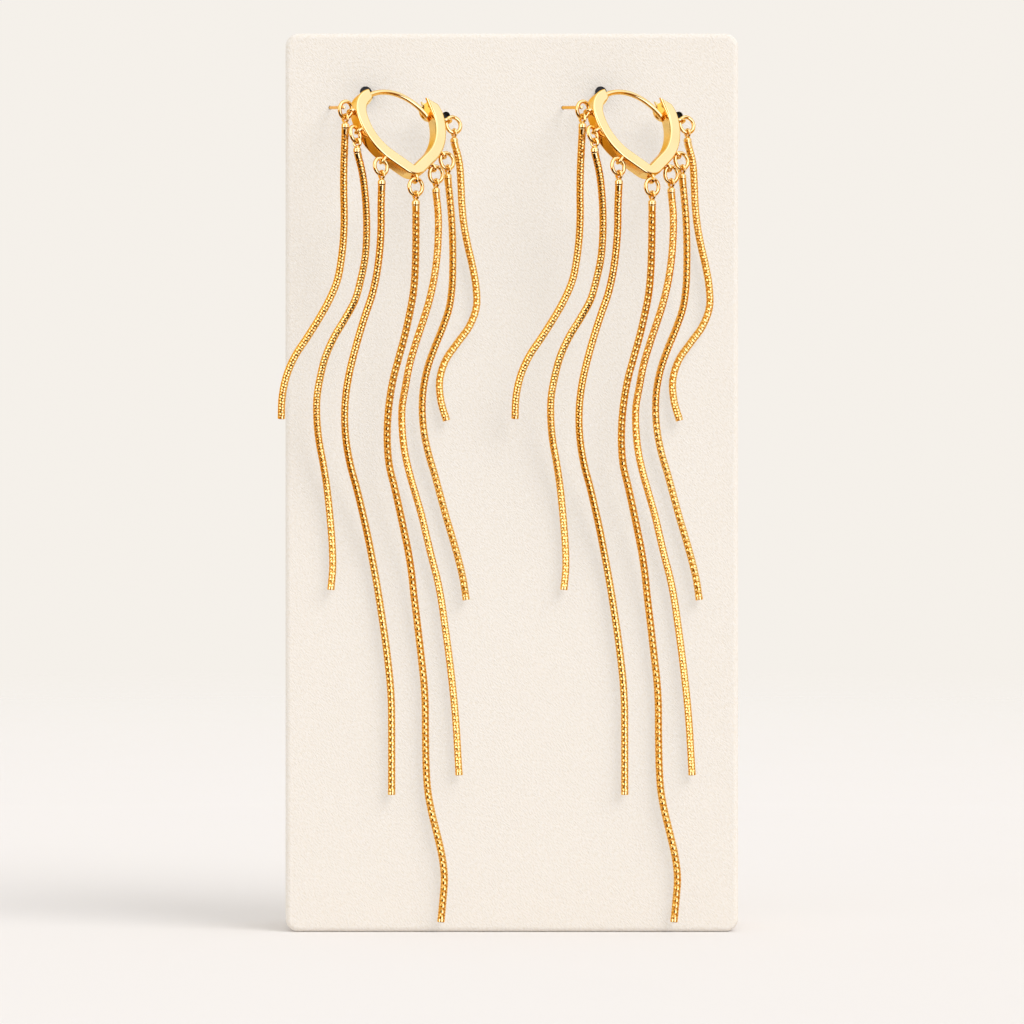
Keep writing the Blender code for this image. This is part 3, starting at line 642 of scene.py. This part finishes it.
def new_object(name, data):
    """An object for some data, in the scene."""
    item = bpy.data.objects.new(name, data)
    bpy.context.scene.collection.objects.link(item)
    return item


def copy_of(piece, name, matrix):
    """A copy with its own mesh, put into place."""
    twin = piece.copy()
    twin.data = piece.data.copy()
    twin.name = name
    twin.data.name = name
    twin.data.transform(matrix)
    bpy.context.scene.collection.objects.link(twin)
    return twin


def tidy(piece, smooth=30.0):
    """Merge doubles, point faces outwards, smooth the round ones and keep the flat ones flat."""
    with editing(piece):
        bpy.ops.mesh.remove_doubles(threshold=0.5 * UM)
        bpy.ops.mesh.dissolve_limited(angle_limit=math.radians(0.3))
        bpy.ops.mesh.normals_make_consistent(inside=False)
    bpy.ops.object.shade_smooth_by_angle(angle=math.radians(smooth))
    modify(piece, "WEIGHTED_NORMAL", keep_sharp=True)


def dress(piece, body, node, slot, material):
    """Give a piece its finish and body and hide its CAD node; gold doesn't dim the soft light on the block.
    """
    piece.data.materials.clear()
    piece.data.materials.append(material)
    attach(piece, body)
    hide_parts(node)
    piece.visible_diffuse = slot != "gold"


def rotation(turn, axis):
    """A rotation round one of the main axes."""
    return Matrix.Rotation(turn, 4, axis)


def direction(turn):
    """A unit vector in the band's plane."""
    return Vector((math.cos(turn), math.sin(turn), 0.0))


def hinge_in_band(band, wire):
    """The hinge's place in the band's plane, at the middle of the band's depth."""
    shoulder = Vector((-band.shoulder_x, band.shoulder_y, -band.depth / 2))
    return shoulder + (band.shoulder_radius - wire.hinge_inset) * direction(wire.hinge_angle)


def band_place(side, band, wire):
    """Where the frame has a band: from its hinge's place and axis."""
    joint = next(item for item in frame["joints"] if item["name"] == side + "_ear_wire_hinge")
    normal = Vector(joint["axis"])
    turn = math.atan2(normal.x, -normal.y)
    tilt = math.pi / 2 - math.asin(normal.z)
    axes = rotation(turn, "Z") @ rotation(tilt, "X") @ rotation(band.roll, "Z")
    return Matrix.Translation(Vector(joint["pos_m"]) - axes @ hinge_in_band(band, wire)) @ axes


def node_points(node):
    """A CAD node's corners, each one once."""
    points = np.array([vert.co for vert in frame["nodes"][node].data.vertices])
    return np.unique(np.round(points, 7), axis=0)


def main_axes(points):
    """The middle of some points and their axes, the longest spread first."""
    centre = points.mean(axis=0)
    axes = np.linalg.svd(points - centre, full_matrices=False)[2]
    return Vector(centre), [Vector(axis) for axis in axes]


def frame_matrix(centre, x_axis, z_axis):
    """A matrix with this centre, z axis and rough x axis."""
    z = z_axis.normalized()
    x = (x_axis - x_axis.dot(z) * z).normalized()
    matrix = Matrix((x, z.cross(x), z)).transposed().to_4x4()
    matrix.translation = centre
    return matrix


def sector(name, centre, inner, outer, start, end, low, high):
    """A slice of a ring round z: its upright section, spun."""
    spot = centre + direction(start) * (inner + outer) / 2
    spot.z = (low + high) / 2
    piece = add(bpy.ops.mesh.primitive_plane_add, name, size=1.0, rotation=(math.pi / 2, 0, 0))
    piece.data.transform(Matrix.Diagonal((outer - inner, 1, high - low, 1)))
    piece.data.transform(Matrix.Translation(spot) @ rotation(start, "Z"))
    with editing(piece):
        spin(centre, end - start, ARC_STEP)
        outwards()
    return piece


def cuboid(name, spot, size, turn=0.0):
    """A box round a place, turned in the plane."""
    place = {"location": spot, "rotation": (0, 0, turn), "scale": size}
    return add(bpy.ops.mesh.primitive_cube_add, name, size=1.0, **place)


def bar(name, start, turn, size):
    """A box that starts at a point and runs along a direction in the plane."""
    return cuboid(name, start + direction(turn) * size[0] / 2, size, turn)


def rod(name, radius, low, high, centre=(0, 0), vertices=32):
    """A cylinder along z."""
    sizes = {"vertices": vertices, "radius": radius, "depth": high - low}
    return add(bpy.ops.mesh.primitive_cylinder_add, name, location=(*centre, (low + high) / 2), **sizes)


def disc(name, radius, vertices, fill="NGON", **place):
    """A circle in the xy plane unless it is turned."""
    sizes = {"radius": radius, "vertices": vertices, "fill_type": fill}
    return add(bpy.ops.mesh.primitive_circle_add, name, **sizes, **place)


def torus(name, radius, wire, steps, sides, **place):
    """A ring of wire round z unless it is turned."""
    sizes = {"major_radius": radius, "minor_radius": wire, "major_segments": steps, "minor_segments": sides}
    return add(bpy.ops.mesh.primitive_torus_add, name, **sizes, **place)


def shoulder_centre(band):
    """The centre of the right shoulder's arc."""
    return Vector((band.shoulder_x, band.shoulder_y, 0.0))


def half_band(name, band, sweeps, trimmings):
    """The right half of the band: its section runs up the shoulder and down the limb, its end is cut."""
    shoulder = shoulder_centre(band)
    inner = band.shoulder_radius - band.width
    piece = sector(name, shoulder, inner, band.shoulder_radius, 0.0, sweeps[0], -band.depth, 0.0)
    limb = Vector((band.shoulder_x + band.shoulder_radius - band.limb_radius, band.shoulder_y, 0.0))
    with editing(piece):
        for before, after in zip(sweeps, sweeps[1:]):
            top = shoulder + direction(before) * (inner + band.width / 2)
            pick(piece, "faces", lambda face: (middle(face).xy - top.xy).length < 1 * UM)
            spin(shoulder, after - before, ARC_STEP)
        pick(piece, "faces", lambda face: abs(middle(face).y - band.shoulder_y) < 1 * UM)
        spin(limb, band.limb_slope - math.pi / 2, ARC_STEP / 2)
        extrude(-direction(band.limb_slope) * band.limb_radius)
        outwards()
    for start, end, away in trimmings:
        trim(piece, start, end, away)
    with editing(piece):
        bpy.ops.mesh.bisect(plane_co=(0, 0, 0), plane_no=(1, 0, 0), clear_inner=True)
    return piece


def trim(piece, start, end, away):
    """Cut off what lies past a straight line in the band's plane, on the side that away points to."""
    run = end - start
    reach = 3 * run.length
    side = Vector((-run.y, run.x, 0.0)).normalized()
    if side.dot(away) < 0:
        side.negate()
    turn = math.atan2(run.y, run.x)
    cutter = bar("trimming", start + side * reach / 2, turn, (reach, reach, reach))
    combine(piece, "DIFFERENCE", [cutter], "EXACT")


def make_band(band, wire):
    """The whole band in its own plane: two halves, its edges, catch, fork and lugs."""
    shoulder = shoulder_centre(band)
    inner = band.shoulder_radius - band.width
    tip = shoulder + Vector((band.tip_x, band.tip_y, 0.0))
    outer_end = shoulder + band.shoulder_radius * direction(band.right_end)
    inner_end = shoulder + inner * direction(band.right_inner)
    sweeps = (band.right_inner, band.right_end, 2 * band.right_end)
    ends = ((outer_end, tip, Vector((0, 1, 0))), (inner_end, tip, Vector((-1, 0, 0))))
    right = half_band("band", band, sweeps, ends)
    taper = shoulder + inner * direction(band.left_taper)
    narrow = shoulder + (band.shoulder_radius - band.left_width) * direction(band.left_end)
    sweeps = (band.left_taper, band.left_end)
    left = half_band("left half", band, sweeps, ((taper, narrow, shoulder - taper),))
    left.data.transform(Matrix.Scale(-1, 4, RIGHT))
    piece = join([right, left])
    with editing(piece):
        bpy.ops.mesh.remove_doubles(threshold=1 * UM)
        bpy.ops.mesh.normals_make_consistent(inside=False)
        bpy.ops.mesh.dissolve_limited(angle_limit=math.radians(0.5))
        low = min(vert.co.y for vert in bmesh.from_edit_mesh(piece.data).verts)
        pick(piece, "edges", lambda edge: all(v.co.y < low + 1 * UM for v in edge.verts))
        bevel(band.point_radius * math.tan(band.limb_slope), 16)

        def rim(edge):
            return spread(edge, 2) < 1 * UM and edge.calc_face_angle(0.0) > math.radians(60.0)

        pick(piece, "edges", rim)
        bevel(band.edge_radius, 5)
    combine(piece, "UNION", [catch_tab(band, wire)] + lugs(piece, band))
    combine(piece, "DIFFERENCE", slot_cutters(band, wire))
    tidy(piece)
    return piece


def catch_tab(band, wire):
    """The back wall's tab, proud of the band's inner side."""
    shoulder = shoulder_centre(band)
    centre = shoulder + (band.shoulder_radius - band.tab_inset) * direction(band.tab_angle)
    half_slot = wire.radius + wire.clearance
    tab = rod("tab", band.tab_radius, -band.depth, -band.depth / 2 - half_slot, centre.xy, 48)
    soften(tab, band.tab_round)
    return tab


def lugs(piece, band):
    """The soldered lugs, where a ray towards the band's middle meets its outer side."""
    made = []
    bpy.context.view_layer.update()
    for bearing, standoff in LUGS:
        ray = direction(math.radians(bearing))
        start = 4 * band.shoulder_radius * ray
        start.z = -band.lug_setback
        hit, spot, normal, index = piece.ray_cast(start, -ray)
        if not hit:
            raise RuntimeError("a lug misses the band")
        normal.z = 0.0
        normal.normalize()
        turn = math.atan2(normal.y, normal.x)
        centre = spot + (standoff - 1) * band.lug_radius * normal
        place = {"location": centre, "rotation": (math.pi / 2, 0, turn)}
        lug = torus("lug", band.lug_radius, band.lug_wire, 32, 12, **place)
        spare = (standoff - 2) * band.lug_radius
        if spare > 0:
            with editing(lug):
                pick(lug, "verts", lambda vert: (vert.co - centre).dot(normal) < -1 * UM)
                bpy.ops.transform.translate(value=-spare * normal)
        made.append(lug)
    return made


def slot_cutters(band, wire):
    """What the hinge fork, the catch and the pin's blind hole are cut with."""
    hinge = hinge_in_band(band, wire)
    half = wire.radius + wire.clearance
    low = hinge.z - half
    high = hinge.z + half
    room = wire.knuckle + wire.clearance
    reach = 2 * band.shoulder_radius
    closed = wire_arc(wire)[3]
    opened = closed + wire.opening
    cutters = [rod("room", room, low, high, hinge.xy)]
    for turn in (closed, opened):
        cutters.append(bar("way", hinge, turn, (reach, 2 * room, 2 * half)))
    flat = Vector((hinge.x, hinge.y, 0.0))
    cutters.append(sector("fan", flat, 0.05 * MM, reach, closed, opened, low, high))
    outer = wire.reach + wire.radius + wire.clearance
    inner = outer - wire.slot_throat
    cutters.append(sector("catch", flat, inner, outer, wire.slot_low, wire.slot_high, low, high))
    bore = wire.pin + wire.bore_clearance
    cutters.append(rod("bore", bore, -2 * band.depth, -wire.pin_wall, hinge.xy))
    return cutters


def wire_arc(wire):
    """The ear wire's arc with its hinge at the origin: centre, start, end and the way it sets out."""
    tip = wire.reach * direction(wire.drop)
    height = math.sqrt(wire.arc_radius**2 - (wire.reach / 2) ** 2)
    centre = tip / 2 - height * direction(wire.drop + math.pi / 2)
    start = math.atan2(-centre.y, -centre.x)
    end = math.atan2(tip.y - centre.y, tip.x - centre.x)
    return centre, start, end, start - math.pi / 2


def make_ear_wire(wire):
    """The ear wire with knuckle, bore and rounded tip, its hinge at the origin."""
    centre, start, end, way = wire_arc(wire)
    piece = disc("ear wire", wire.radius, 20, rotation=(math.pi / 2, 0, start))
    with editing(piece):
        spin(centre, end - start, ARC_STEP / 4)
        tip = centre + wire.arc_radius * direction(end)
        along = direction(end - math.pi / 2)
        gone = 0.0
        width = 1.0
        for turn in TIP_TURNS:
            rise = math.sin(math.radians(turn)) * wire.radius
            extrude(along * (rise - gone))
            ratio = math.cos(math.radians(turn)) / width
            bpy.ops.transform.resize(value=(ratio, ratio, ratio), center_override=tip + along * rise)
            gone = rise
            width *= ratio
        outwards()
    half = wire.radius + wire.clearance / 4
    knuckle = rod("knuckle", wire.knuckle, -half, half)
    soften(knuckle, wire.knuckle_round)
    combine(piece, "UNION", [knuckle])
    combine(piece, "DIFFERENCE", [rod("bore", wire.pin + wire.bore_clearance, -2 * half, 2 * half)])
    tidy(piece)
    return piece


def make_jump_ring(links):
    """A jump ring in the xy plane, bent round until its ends nearly meet."""
    steps = 72
    gap = 2 * math.pi / steps
    piece = torus("jump ring", links.ring_radius, links.ring_wire, steps, 14)
    with editing(piece):
        pick(piece, "faces", lambda face: 0 < math.atan2(middle(face).y, middle(face).x) < gap)
        bpy.ops.mesh.delete(type="FACE")
        pick(piece, "edges", lambda edge: edge.is_boundary)
        bpy.ops.mesh.fill_holes(sides=0)
        pick(piece, "faces", lambda face: len(face.verts) > 4)
        bevel(links.ring_round, 2)
    tidy(piece)
    return piece


def make_end_cap(links):
    """An end cap: cup with rim and groove below, loop at the origin in the xz plane, hanging along -z."""
    foot = -links.cap_drop
    piece = disc("end cap", CAP_ROWS[0][1] * MM, 32, location=(0, 0, foot))
    with editing(piece):
        raise_rows(CAP_ROWS, foot, MM)
        outwards()
    loop = torus("loop", links.loop_radius, links.loop_wire, 40, 12, rotation=(math.pi / 2, 0, 0))
    combine(piece, "UNION", [loop])
    tidy(piece)
    return piece


def mark(piece, name, values):
    """Store one number for each corner of a mesh, or the same one for all."""
    if not isinstance(values, list):
        values = [values] * len(piece.data.vertices)
    attribute = piece.data.attributes.get(name) or piece.data.attributes.new(name, "FLOAT", "POINT")
    attribute.data.foreach_set("value", values)


def make_links(links):
    """Six neighbouring links of a snake chain along x, each a closed wavy collar."""
    sides = 4 * links.waves
    step = 2 * math.pi / sides
    place, out = LINK_ROWS[0]
    spot = (0, 0, place * links.pitch)
    link = disc("link", out * links.chain_radius, sides, "NOTHING", location=spot)

    def at_wave(part):
        return lambda vert: round(math.atan2(vert.co.y, vert.co.x) / step) % 4 == part

    with editing(link):
        bpy.ops.mesh.select_mode(type="EDGE")
        raise_rows(LINK_ROWS, 0.0, links.pitch)
        pick(link, "edges", lambda edge: edge.is_boundary)
        bpy.ops.mesh.bridge_edge_loops()
        pick(link, "verts", at_wave(0))
        bpy.ops.transform.translate(value=(0, 0, links.zigzag))
        pick(link, "verts", at_wave(2))
        bpy.ops.transform.translate(value=(0, 0, -links.zigzag))
        bpy.ops.transform.resize(value=(links.dent, links.dent, 1), center_override=(0, 0, 0))
        outwards()
    # Painted shade: the deeper a corner lies in a link's grooves, the darker the gold it is given
    depths = [1.0 - vert.co.xy.length / links.chain_radius for vert in link.data.vertices]
    mark(link, "crevice", [min(1.0, max(0.0, (depth - 0.01) / 0.06)) for depth in depths])
    made = []
    for index, row in enumerate(LINK_TURNS):
        turn, lean, nod = map(math.radians, row)
        swing = rotation(turn, "X") @ rotation(lean, "Y") @ rotation(nod, "Z")
        pose = Matrix.Translation((index * links.pitch, 0, 0)) @ swing @ rotation(math.pi / 2, "Y")
        twin = copy_of(link, "link", pose)
        mark(twin, "tone", abs(row[0]) / MOST_TURN)
        made.append(twin)
    drop(link)
    return join(made)


def chain_line(node):
    """A chain's middle line from its top down, read from its CAD tube's sections."""
    points = node_points(node)
    points = points[np.argsort(-points[:, 2])]
    gaps = np.nonzero(points[:-1, 2] - points[1:, 2] > 0.9 * MM)[0] + 1
    return [Vector(group.mean(axis=0)) for group in np.split(points, gaps)]


def chain_curve(line):
    """A smooth curve object through a chain's middle line."""
    curve = bpy.data.curves.new("chain line", "CURVE")
    curve.dimensions = "3D"
    curve.resolution_u = 10
    curve.twist_mode = "MINIMUM"
    spline = curve.splines.new("BEZIER")
    spline.bezier_points.add(len(line) - 1)
    for point, spot in zip(spline.bezier_points, line):
        point.co = spot
    count = len(line)
    for index, point in enumerate(spline.bezier_points):
        before = line[max(index - 1, 0)]
        after = line[min(index + 1, count - 1)]
        tangent = (after - before).normalized()
        point.handle_left_type = "FREE"
        point.handle_right_type = "FREE"
        point.handle_left = point.co - tangent * (point.co - before).length / 3
        point.handle_right = point.co + tangent * (after - point.co).length / 3
    guide = new_object("chain line", curve)
    bpy.context.view_layer.update()
    return guide, spline.calc_length()


def collar(links, start, end):
    """A plain polished collar round a chain, along z."""
    piece = rod("collar", links.chain_radius, start, end, vertices=32)
    soften(piece, links.collar_round)
    return piece


def chain_core(links, reach):
    """The inner tube that closes a chain's grooves, with the collars at its top and at its free end."""
    inset = links.core_inset
    core = rod("core", links.core * links.chain_radius, inset, reach - inset, vertices=12)
    with editing(core):
        pick(core, "edges", lambda edge: spread(edge, 2) > reach / 2)
        bpy.ops.mesh.subdivide(number_cuts=math.ceil(reach / (2 * links.pitch)))
    collars = [collar(links, 0.0, links.top_collar), collar(links, reach - links.end_collar, reach)]
    # Painted shade: the inner tube, seen through the grooves, gets full groove shade; the collars get none
    for piece, crevice in ((core, 1.0), (collars[0], 0.0), (collars[1], 0.0)):
        mark(piece, "crevice", crevice)
        mark(piece, "tone", 0.0)
        piece.data.transform(rotation(math.pi / 2, "Y"))
    return [core] + collars


def make_chain(unit, links, node, name):
    """One snake chain: six links repeated along x, closed inside, and bent along its line."""
    guide, reach = chain_curve(chain_line(node))
    run = reach - links.top_collar - links.end_collar
    six = len(LINK_TURNS) * links.pitch
    count = round(run / six)
    stretch = run / (count * six)
    start = Matrix.Translation((links.top_collar + links.pitch / 2, 0, 0))
    chain = copy_of(unit, name, start @ Matrix.Diagonal((stretch, 1, 1, 1)))
    offset = {"use_relative_offset": False, "use_constant_offset": True}
    modify(chain, "ARRAY", count=count, constant_offset_displace=(stretch * six, 0, 0), **offset)
    chain = join([chain] + chain_core(links, reach))
    modify(chain, "CURVE", object=guide, deform_axis="POS_X")
    drop(guide)
    bpy.ops.object.shade_smooth_by_angle(angle=math.radians(LINK_SMOOTH))
    return chain


def holder_line(node):
    """A rod-like CAD node's two ends and its radius."""
    points = node_points(node)
    centre, axes = main_axes(points)
    along = axes[0]
    if along.y > 0:
        along = -along
    places = [(Vector(p) - centre).dot(along) for p in points]
    across = [((Vector(p) - centre).cross(along)).length for p in points]
    return centre + along * min(places), centre + along * max(places), max(across)


def make_block(block):
    """The block: a box with rounded corners and softened edges."""
    low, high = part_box("display_block")
    size = high - low
    piece = cuboid("wrapped_block", (low + high) / 2, size)
    with editing(piece):
        pick(piece, "edges", lambda edge: spread(edge, 1) > size.y / 2)
        bevel(block.corner, 8)
        pick(piece, "edges", lambda edge: spread(edge, 1) < 1 * UM)
        bevel(block.edge, 5)
    return piece


def settings():
    """The scene's own values."""
    return bpy.context.scene.earrings


def strands(node_kind, piece_kind):
    """Side by side, each strand's number, CAD node and piece name."""
    for side in SIDES:
        for number in STRANDS:
            yield number, f"{side}_{node_kind}_{number}", f"{side}_{piece_kind}_{number}"


class EarringValues(bpy.types.PropertyGroup):
    """All values of the piece."""

    band: PointerProperty(type=BandSizes)
    wire: PointerProperty(type=WireSizes)
    links: PointerProperty(type=LinkSizes)
    block: PointerProperty(type=BlockSizes)
    finishes: PointerProperty(type=Finishes)
    studio: PointerProperty(type=StudioSizes)


class EARRINGS_OT_block(bpy.types.Operator):
    """Wrap the display block in cream leatherette, with a hole for each peg and pin"""

    bl_idname = "earrings.block"
    bl_label = "Display block"

    def execute(self, context):
        sizes = settings().block
        block = make_block(sizes)
        holes = []
        for side in SIDES:
            for holder in ("hold_peg_a", "hold_peg_b", "hold_pin"):
                start, end, radius = holder_line(f"{side}_{holder}")
                depth = (end - start).length
                hole = rod("hole", radius + sizes.hole_clearance, -sizes.hole_mouth, depth)
                hole.data.transform(frame_matrix(start, RIGHT, end - start))
                holes.append(hole)
        combine(block, "DIFFERENCE", holes)
        tidy(block, 35.0)
        dress(block, "root", "display_block", "leatherette", leather_finish())
        return {"FINISHED"}


class EARRINGS_OT_bands(bpy.types.Operator):
    """Make the two V-shaped bands with fork, catch and lugs"""

    bl_idname = "earrings.bands"
    bl_label = "Bands"

    def execute(self, context):
        values = settings()
        gold = gold_finish("band gold", wavy=1.875)
        pattern = make_band(values.band, values.wire)
        for side in SIDES:
            place = band_place(side, values.band, values.wire)
            piece = copy_of(pattern, side + "_band", place)
            dress(piece, "root", side + "_hoop_frame", "gold", gold)
        drop(pattern)
        return {"FINISHED"}


class EARRINGS_OT_ear_wires(bpy.types.Operator):
    """Make the two hinged ear wires and the pins they turn on"""

    bl_idname = "earrings.ear_wires"
    bl_label = "Ear wires"

    def execute(self, context):
        values = settings()
        wire = values.wire
        gold = gold_finish("wire gold")
        pattern = make_ear_wire(wire)
        front = -(wire.pin_wall + wire.bore_clearance)
        pin = rod("pin", wire.pin, -values.band.depth, front, vertices=24)
        soften(pin, wire.pin_round)
        tidy(pin)
        for side in SIDES:
            band = band_place(side, values.band, wire)
            hinge = hinge_in_band(values.band, wire)
            piece = copy_of(pattern, side + "_wire", band @ Matrix.Translation(hinge))
            dress(piece, side + "_ear_wire_body", side + "_ear_wire", "gold", gold)
            flat = Matrix.Translation((hinge.x, hinge.y, 0))
            rivet = copy_of(pin, side + "_rivet", band @ flat)
            dress(rivet, "root", side + "_hinge_pin", "gold", gold)
        drop(pattern, pin)
        return {"FINISHED"}


class EARRINGS_OT_jump_rings(bpy.types.Operator):
    """Make the jump rings, each with its fine joint"""

    bl_idname = "earrings.jump_rings"
    bl_label = "Jump rings"

    def execute(self, context):
        gold = gold_finish("ring gold")
        pattern = make_jump_ring(settings().links)
        for number, node, name in strands("ring", "jump_ring"):
            centre, axes = main_axes(node_points(node))
            place = frame_matrix(centre, Vector(JOINTS_AT[number % 2]), axes[2])
            dress(copy_of(pattern, name, place), "root", node, "gold", gold)
        drop(pattern)
        return {"FINISHED"}


class EARRINGS_OT_end_caps(bpy.types.Operator):
    """Make the end caps that the chains hang from"""

    bl_idname = "earrings.end_caps"
    bl_label = "End caps"

    def execute(self, context):
        links = settings().links
        gold = gold_finish("cap gold", dulled=0.03)
        pattern = make_end_cap(links)
        for number, node, name in strands("cap", "end_cap"):
            points = node_points(node)
            low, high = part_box(node)
            centre = (low + high) / 2
            centre.z = high.z - links.loop_radius - links.loop_wire
            upper = points[points[:, 2] > centre.z]
            upper[:, 2] = centre.z
            place = frame_matrix(centre, main_axes(upper)[1][0], UP)
            dress(copy_of(pattern, name, place), "root", node, "gold", gold)
        drop(pattern)
        return {"FINISHED"}


class EARRINGS_OT_chains(bpy.types.Operator):
    """Make the snake chains link by link"""

    bl_idname = "earrings.chains"
    bl_label = "Snake chains"

    def execute(self, context):
        links = settings().links
        gold = gold_finish("chain gold", wavy=0.5, shade_grooves=True)
        unit = make_links(links)
        for number, node, name in strands("chain", "snake_chain"):
            dress(make_chain(unit, links, node, name), "root", node, "gold", gold)
        drop(unit)
        return {"FINISHED"}


class EARRINGS_OT_holders(bpy.types.Operator):
    """Make the pegs and pins that hold the earrings on the block"""

    bl_idname = "earrings.holders"
    bl_label = "Pegs and pins"

    def execute(self, context):
        values = settings()
        sizes = values.block
        rubber = rubber_finish()
        gold = gold_finish("pin gold")
        for side in SIDES:
            back = band_place(side, values.band, values.wire)
            back = back @ Matrix.Translation((0, 0, -values.band.depth - sizes.seat_gap))
            cut = {"plane_co": back.translation, "plane_no": back.to_3x3() @ UP}
            for letter in ("a", "b"):
                node = f"{side}_hold_peg_{letter}"
                start, end, radius = holder_line(node)
                peg = rod(f"{side}_peg_{letter}", radius, 0.0, (end - start).length, vertices=40)
                peg.data.transform(frame_matrix(start, RIGHT, Vector((0, -1, 0))))
                with editing(peg):
                    bpy.ops.mesh.bisect(clear_outer=True, use_fill=True, **cut)
                soften(peg, sizes.peg_round)
                tidy(peg)
                dress(peg, "root", node, "black_rubber", rubber)
            node = side + "_hold_pin"
            start, end, radius = holder_line(node)
            pin = rod(side + "_pin", radius, 0.0, (end - start).length, vertices=28)
            pin.data.transform(frame_matrix(start, RIGHT, end - start))
            soften(pin, sizes.pin_round, 4)
            tidy(pin)
            dress(pin, "root", node, "gold", gold)
        return {"FINISHED"}


def tent_colour(nodes):
    """The colour of the light tent in each direction, for polished metal."""
    way = nodes.make("ShaderNodeTexCoord", output="Generated")
    parts = [nodes.make("ShaderNodeSeparateXYZ", inputs={0: way}, output=axis) for axis in "XYZ"]
    bearing = parts[0].math("ARCTAN2", 0.0 - parts[1]) * (180 / math.pi)
    height = parts[2].math("ARCSINE") * (180 / math.pi)
    rising = ((height + TENT_SPAN) / (2 * TENT_SPAN)).clamped()
    tint = nodes.make("ShaderNodeValToRGB", {"stops": TENT_RISE}, {0: rising})
    for at, up, half_width, half_height, rim, panel in TENT_PANELS:
        across = ((half_width - (bearing - at).math("ABSOLUTE")) / rim + 0.5).clamped()
        along = ((half_height - (height - up).math("ABSOLUTE")) / rim + 0.5).clamped()
        tint = nodes.blend(across * along, tint, [part / TENT_STRENGTH for part in panel])
    return tint


def make_world(studio):
    """A plain pale world, with a light tent that only polished metal sees."""
    world = bpy.data.worlds.new("studio")
    bpy.context.scene.world = world
    world.use_nodes = True
    world.node_tree.nodes.clear()
    nodes = Nodes(world.node_tree)
    seen = nodes.make("ShaderNodeLightPath", output="Is Camera Ray")
    glossy = nodes.make("ShaderNodeLightPath", output="Is Glossy Ray")
    fill = nodes.make("ShaderNodeBackground", inputs={0: studio.fill_tint, 1: studio.fill})
    tent = nodes.make("ShaderNodeBackground", inputs={0: tent_colour(nodes), 1: TENT_STRENGTH})
    plain = nodes.make("ShaderNodeBackground", inputs={0: studio.backdrop, 1: 1.0})
    lit = nodes.make("ShaderNodeMixShader", inputs={0: glossy, 1: fill, 2: tent})
    shown = nodes.make("ShaderNodeMixShader", inputs={0: seen, 1: lit, 2: plain})
    nodes.fill(nodes.tree.nodes.new("ShaderNodeOutputWorld"), {0: shown})


class EARRINGS_OT_studio(bpy.types.Operator):
    """Lay the floor and set up lamps, world and camera"""

    bl_idname = "earrings.studio"
    bl_label = "Studio"

    def execute(self, context):
        studio = settings().studio
        floor = disc("floor", studio.floor_radius, 128)
        floor.data.materials.append(floor_finish())
        floor.visible_glossy = False
        make_world(studio)
        lamp_data = bpy.data.lights.new("sun", "SUN")
        lamp_data.energy = studio.sun
        lamp_data.angle = studio.sun_width
        lamp_data.color = studio.sun_tint
        lamp = new_object("sun", lamp_data)
        lamp.rotation_euler = Vector(studio.sun_from).to_track_quat("Z", "Y").to_euler()
        lamp.visible_glossy = False
        camera_data = bpy.data.cameras.new("camera")
        camera_data.lens = studio.lens
        camera_data.sensor_width = studio.sensor
        camera_data.clip_start = 0.01
        camera = new_object("camera", camera_data)
        face_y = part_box("display_block")[0].y
        camera.location = (studio.eye_x, face_y - studio.distance, studio.eye_z)
        camera.rotation_euler = (math.pi / 2, 0, 0)
        bpy.context.scene.camera = camera
        bpy.context.scene.view_settings.view_transform = "Standard"
        return {"FINISHED"}


PIECES = (
    EARRINGS_OT_studio,
    EARRINGS_OT_block,
    EARRINGS_OT_holders,
    EARRINGS_OT_bands,
    EARRINGS_OT_ear_wires,
    EARRINGS_OT_jump_rings,
    EARRINGS_OT_end_caps,
    EARRINGS_OT_chains,
)


class EARRINGS_PT_sidebar(bpy.types.Panel):
    """The steps of the piece, in order"""

    bl_idname = "EARRINGS_PT_sidebar"
    bl_label = "Dangle earrings"
    bl_space_type = "VIEW_3D"
    bl_region_type = "UI"
    bl_category = "Earrings"

    def draw(self, context):
        for piece in PIECES:
            self.layout.operator(piece.bl_idname)


GROUPS = (BandSizes, WireSizes, LinkSizes, BlockSizes, Finishes, StudioSizes, EarringValues)
CLASSES = GROUPS + PIECES + (EARRINGS_PT_sidebar,)


def register():
    """Add the classes and the scene's values."""
    for item in CLASSES:
        bpy.utils.register_class(item)
    bpy.types.Scene.earrings = PointerProperty(type=EarringValues)


def unregister():
    """Take them away again."""
    del bpy.types.Scene.earrings
    for item in reversed(CLASSES):
        bpy.utils.unregister_class(item)


def main():
    """Run every step."""
    register()
    for piece in PIECES:
        group, name = piece.bl_idname.split(".")
        getattr(getattr(bpy.ops, group), name)()


if __name__ == "__main__":
    main()
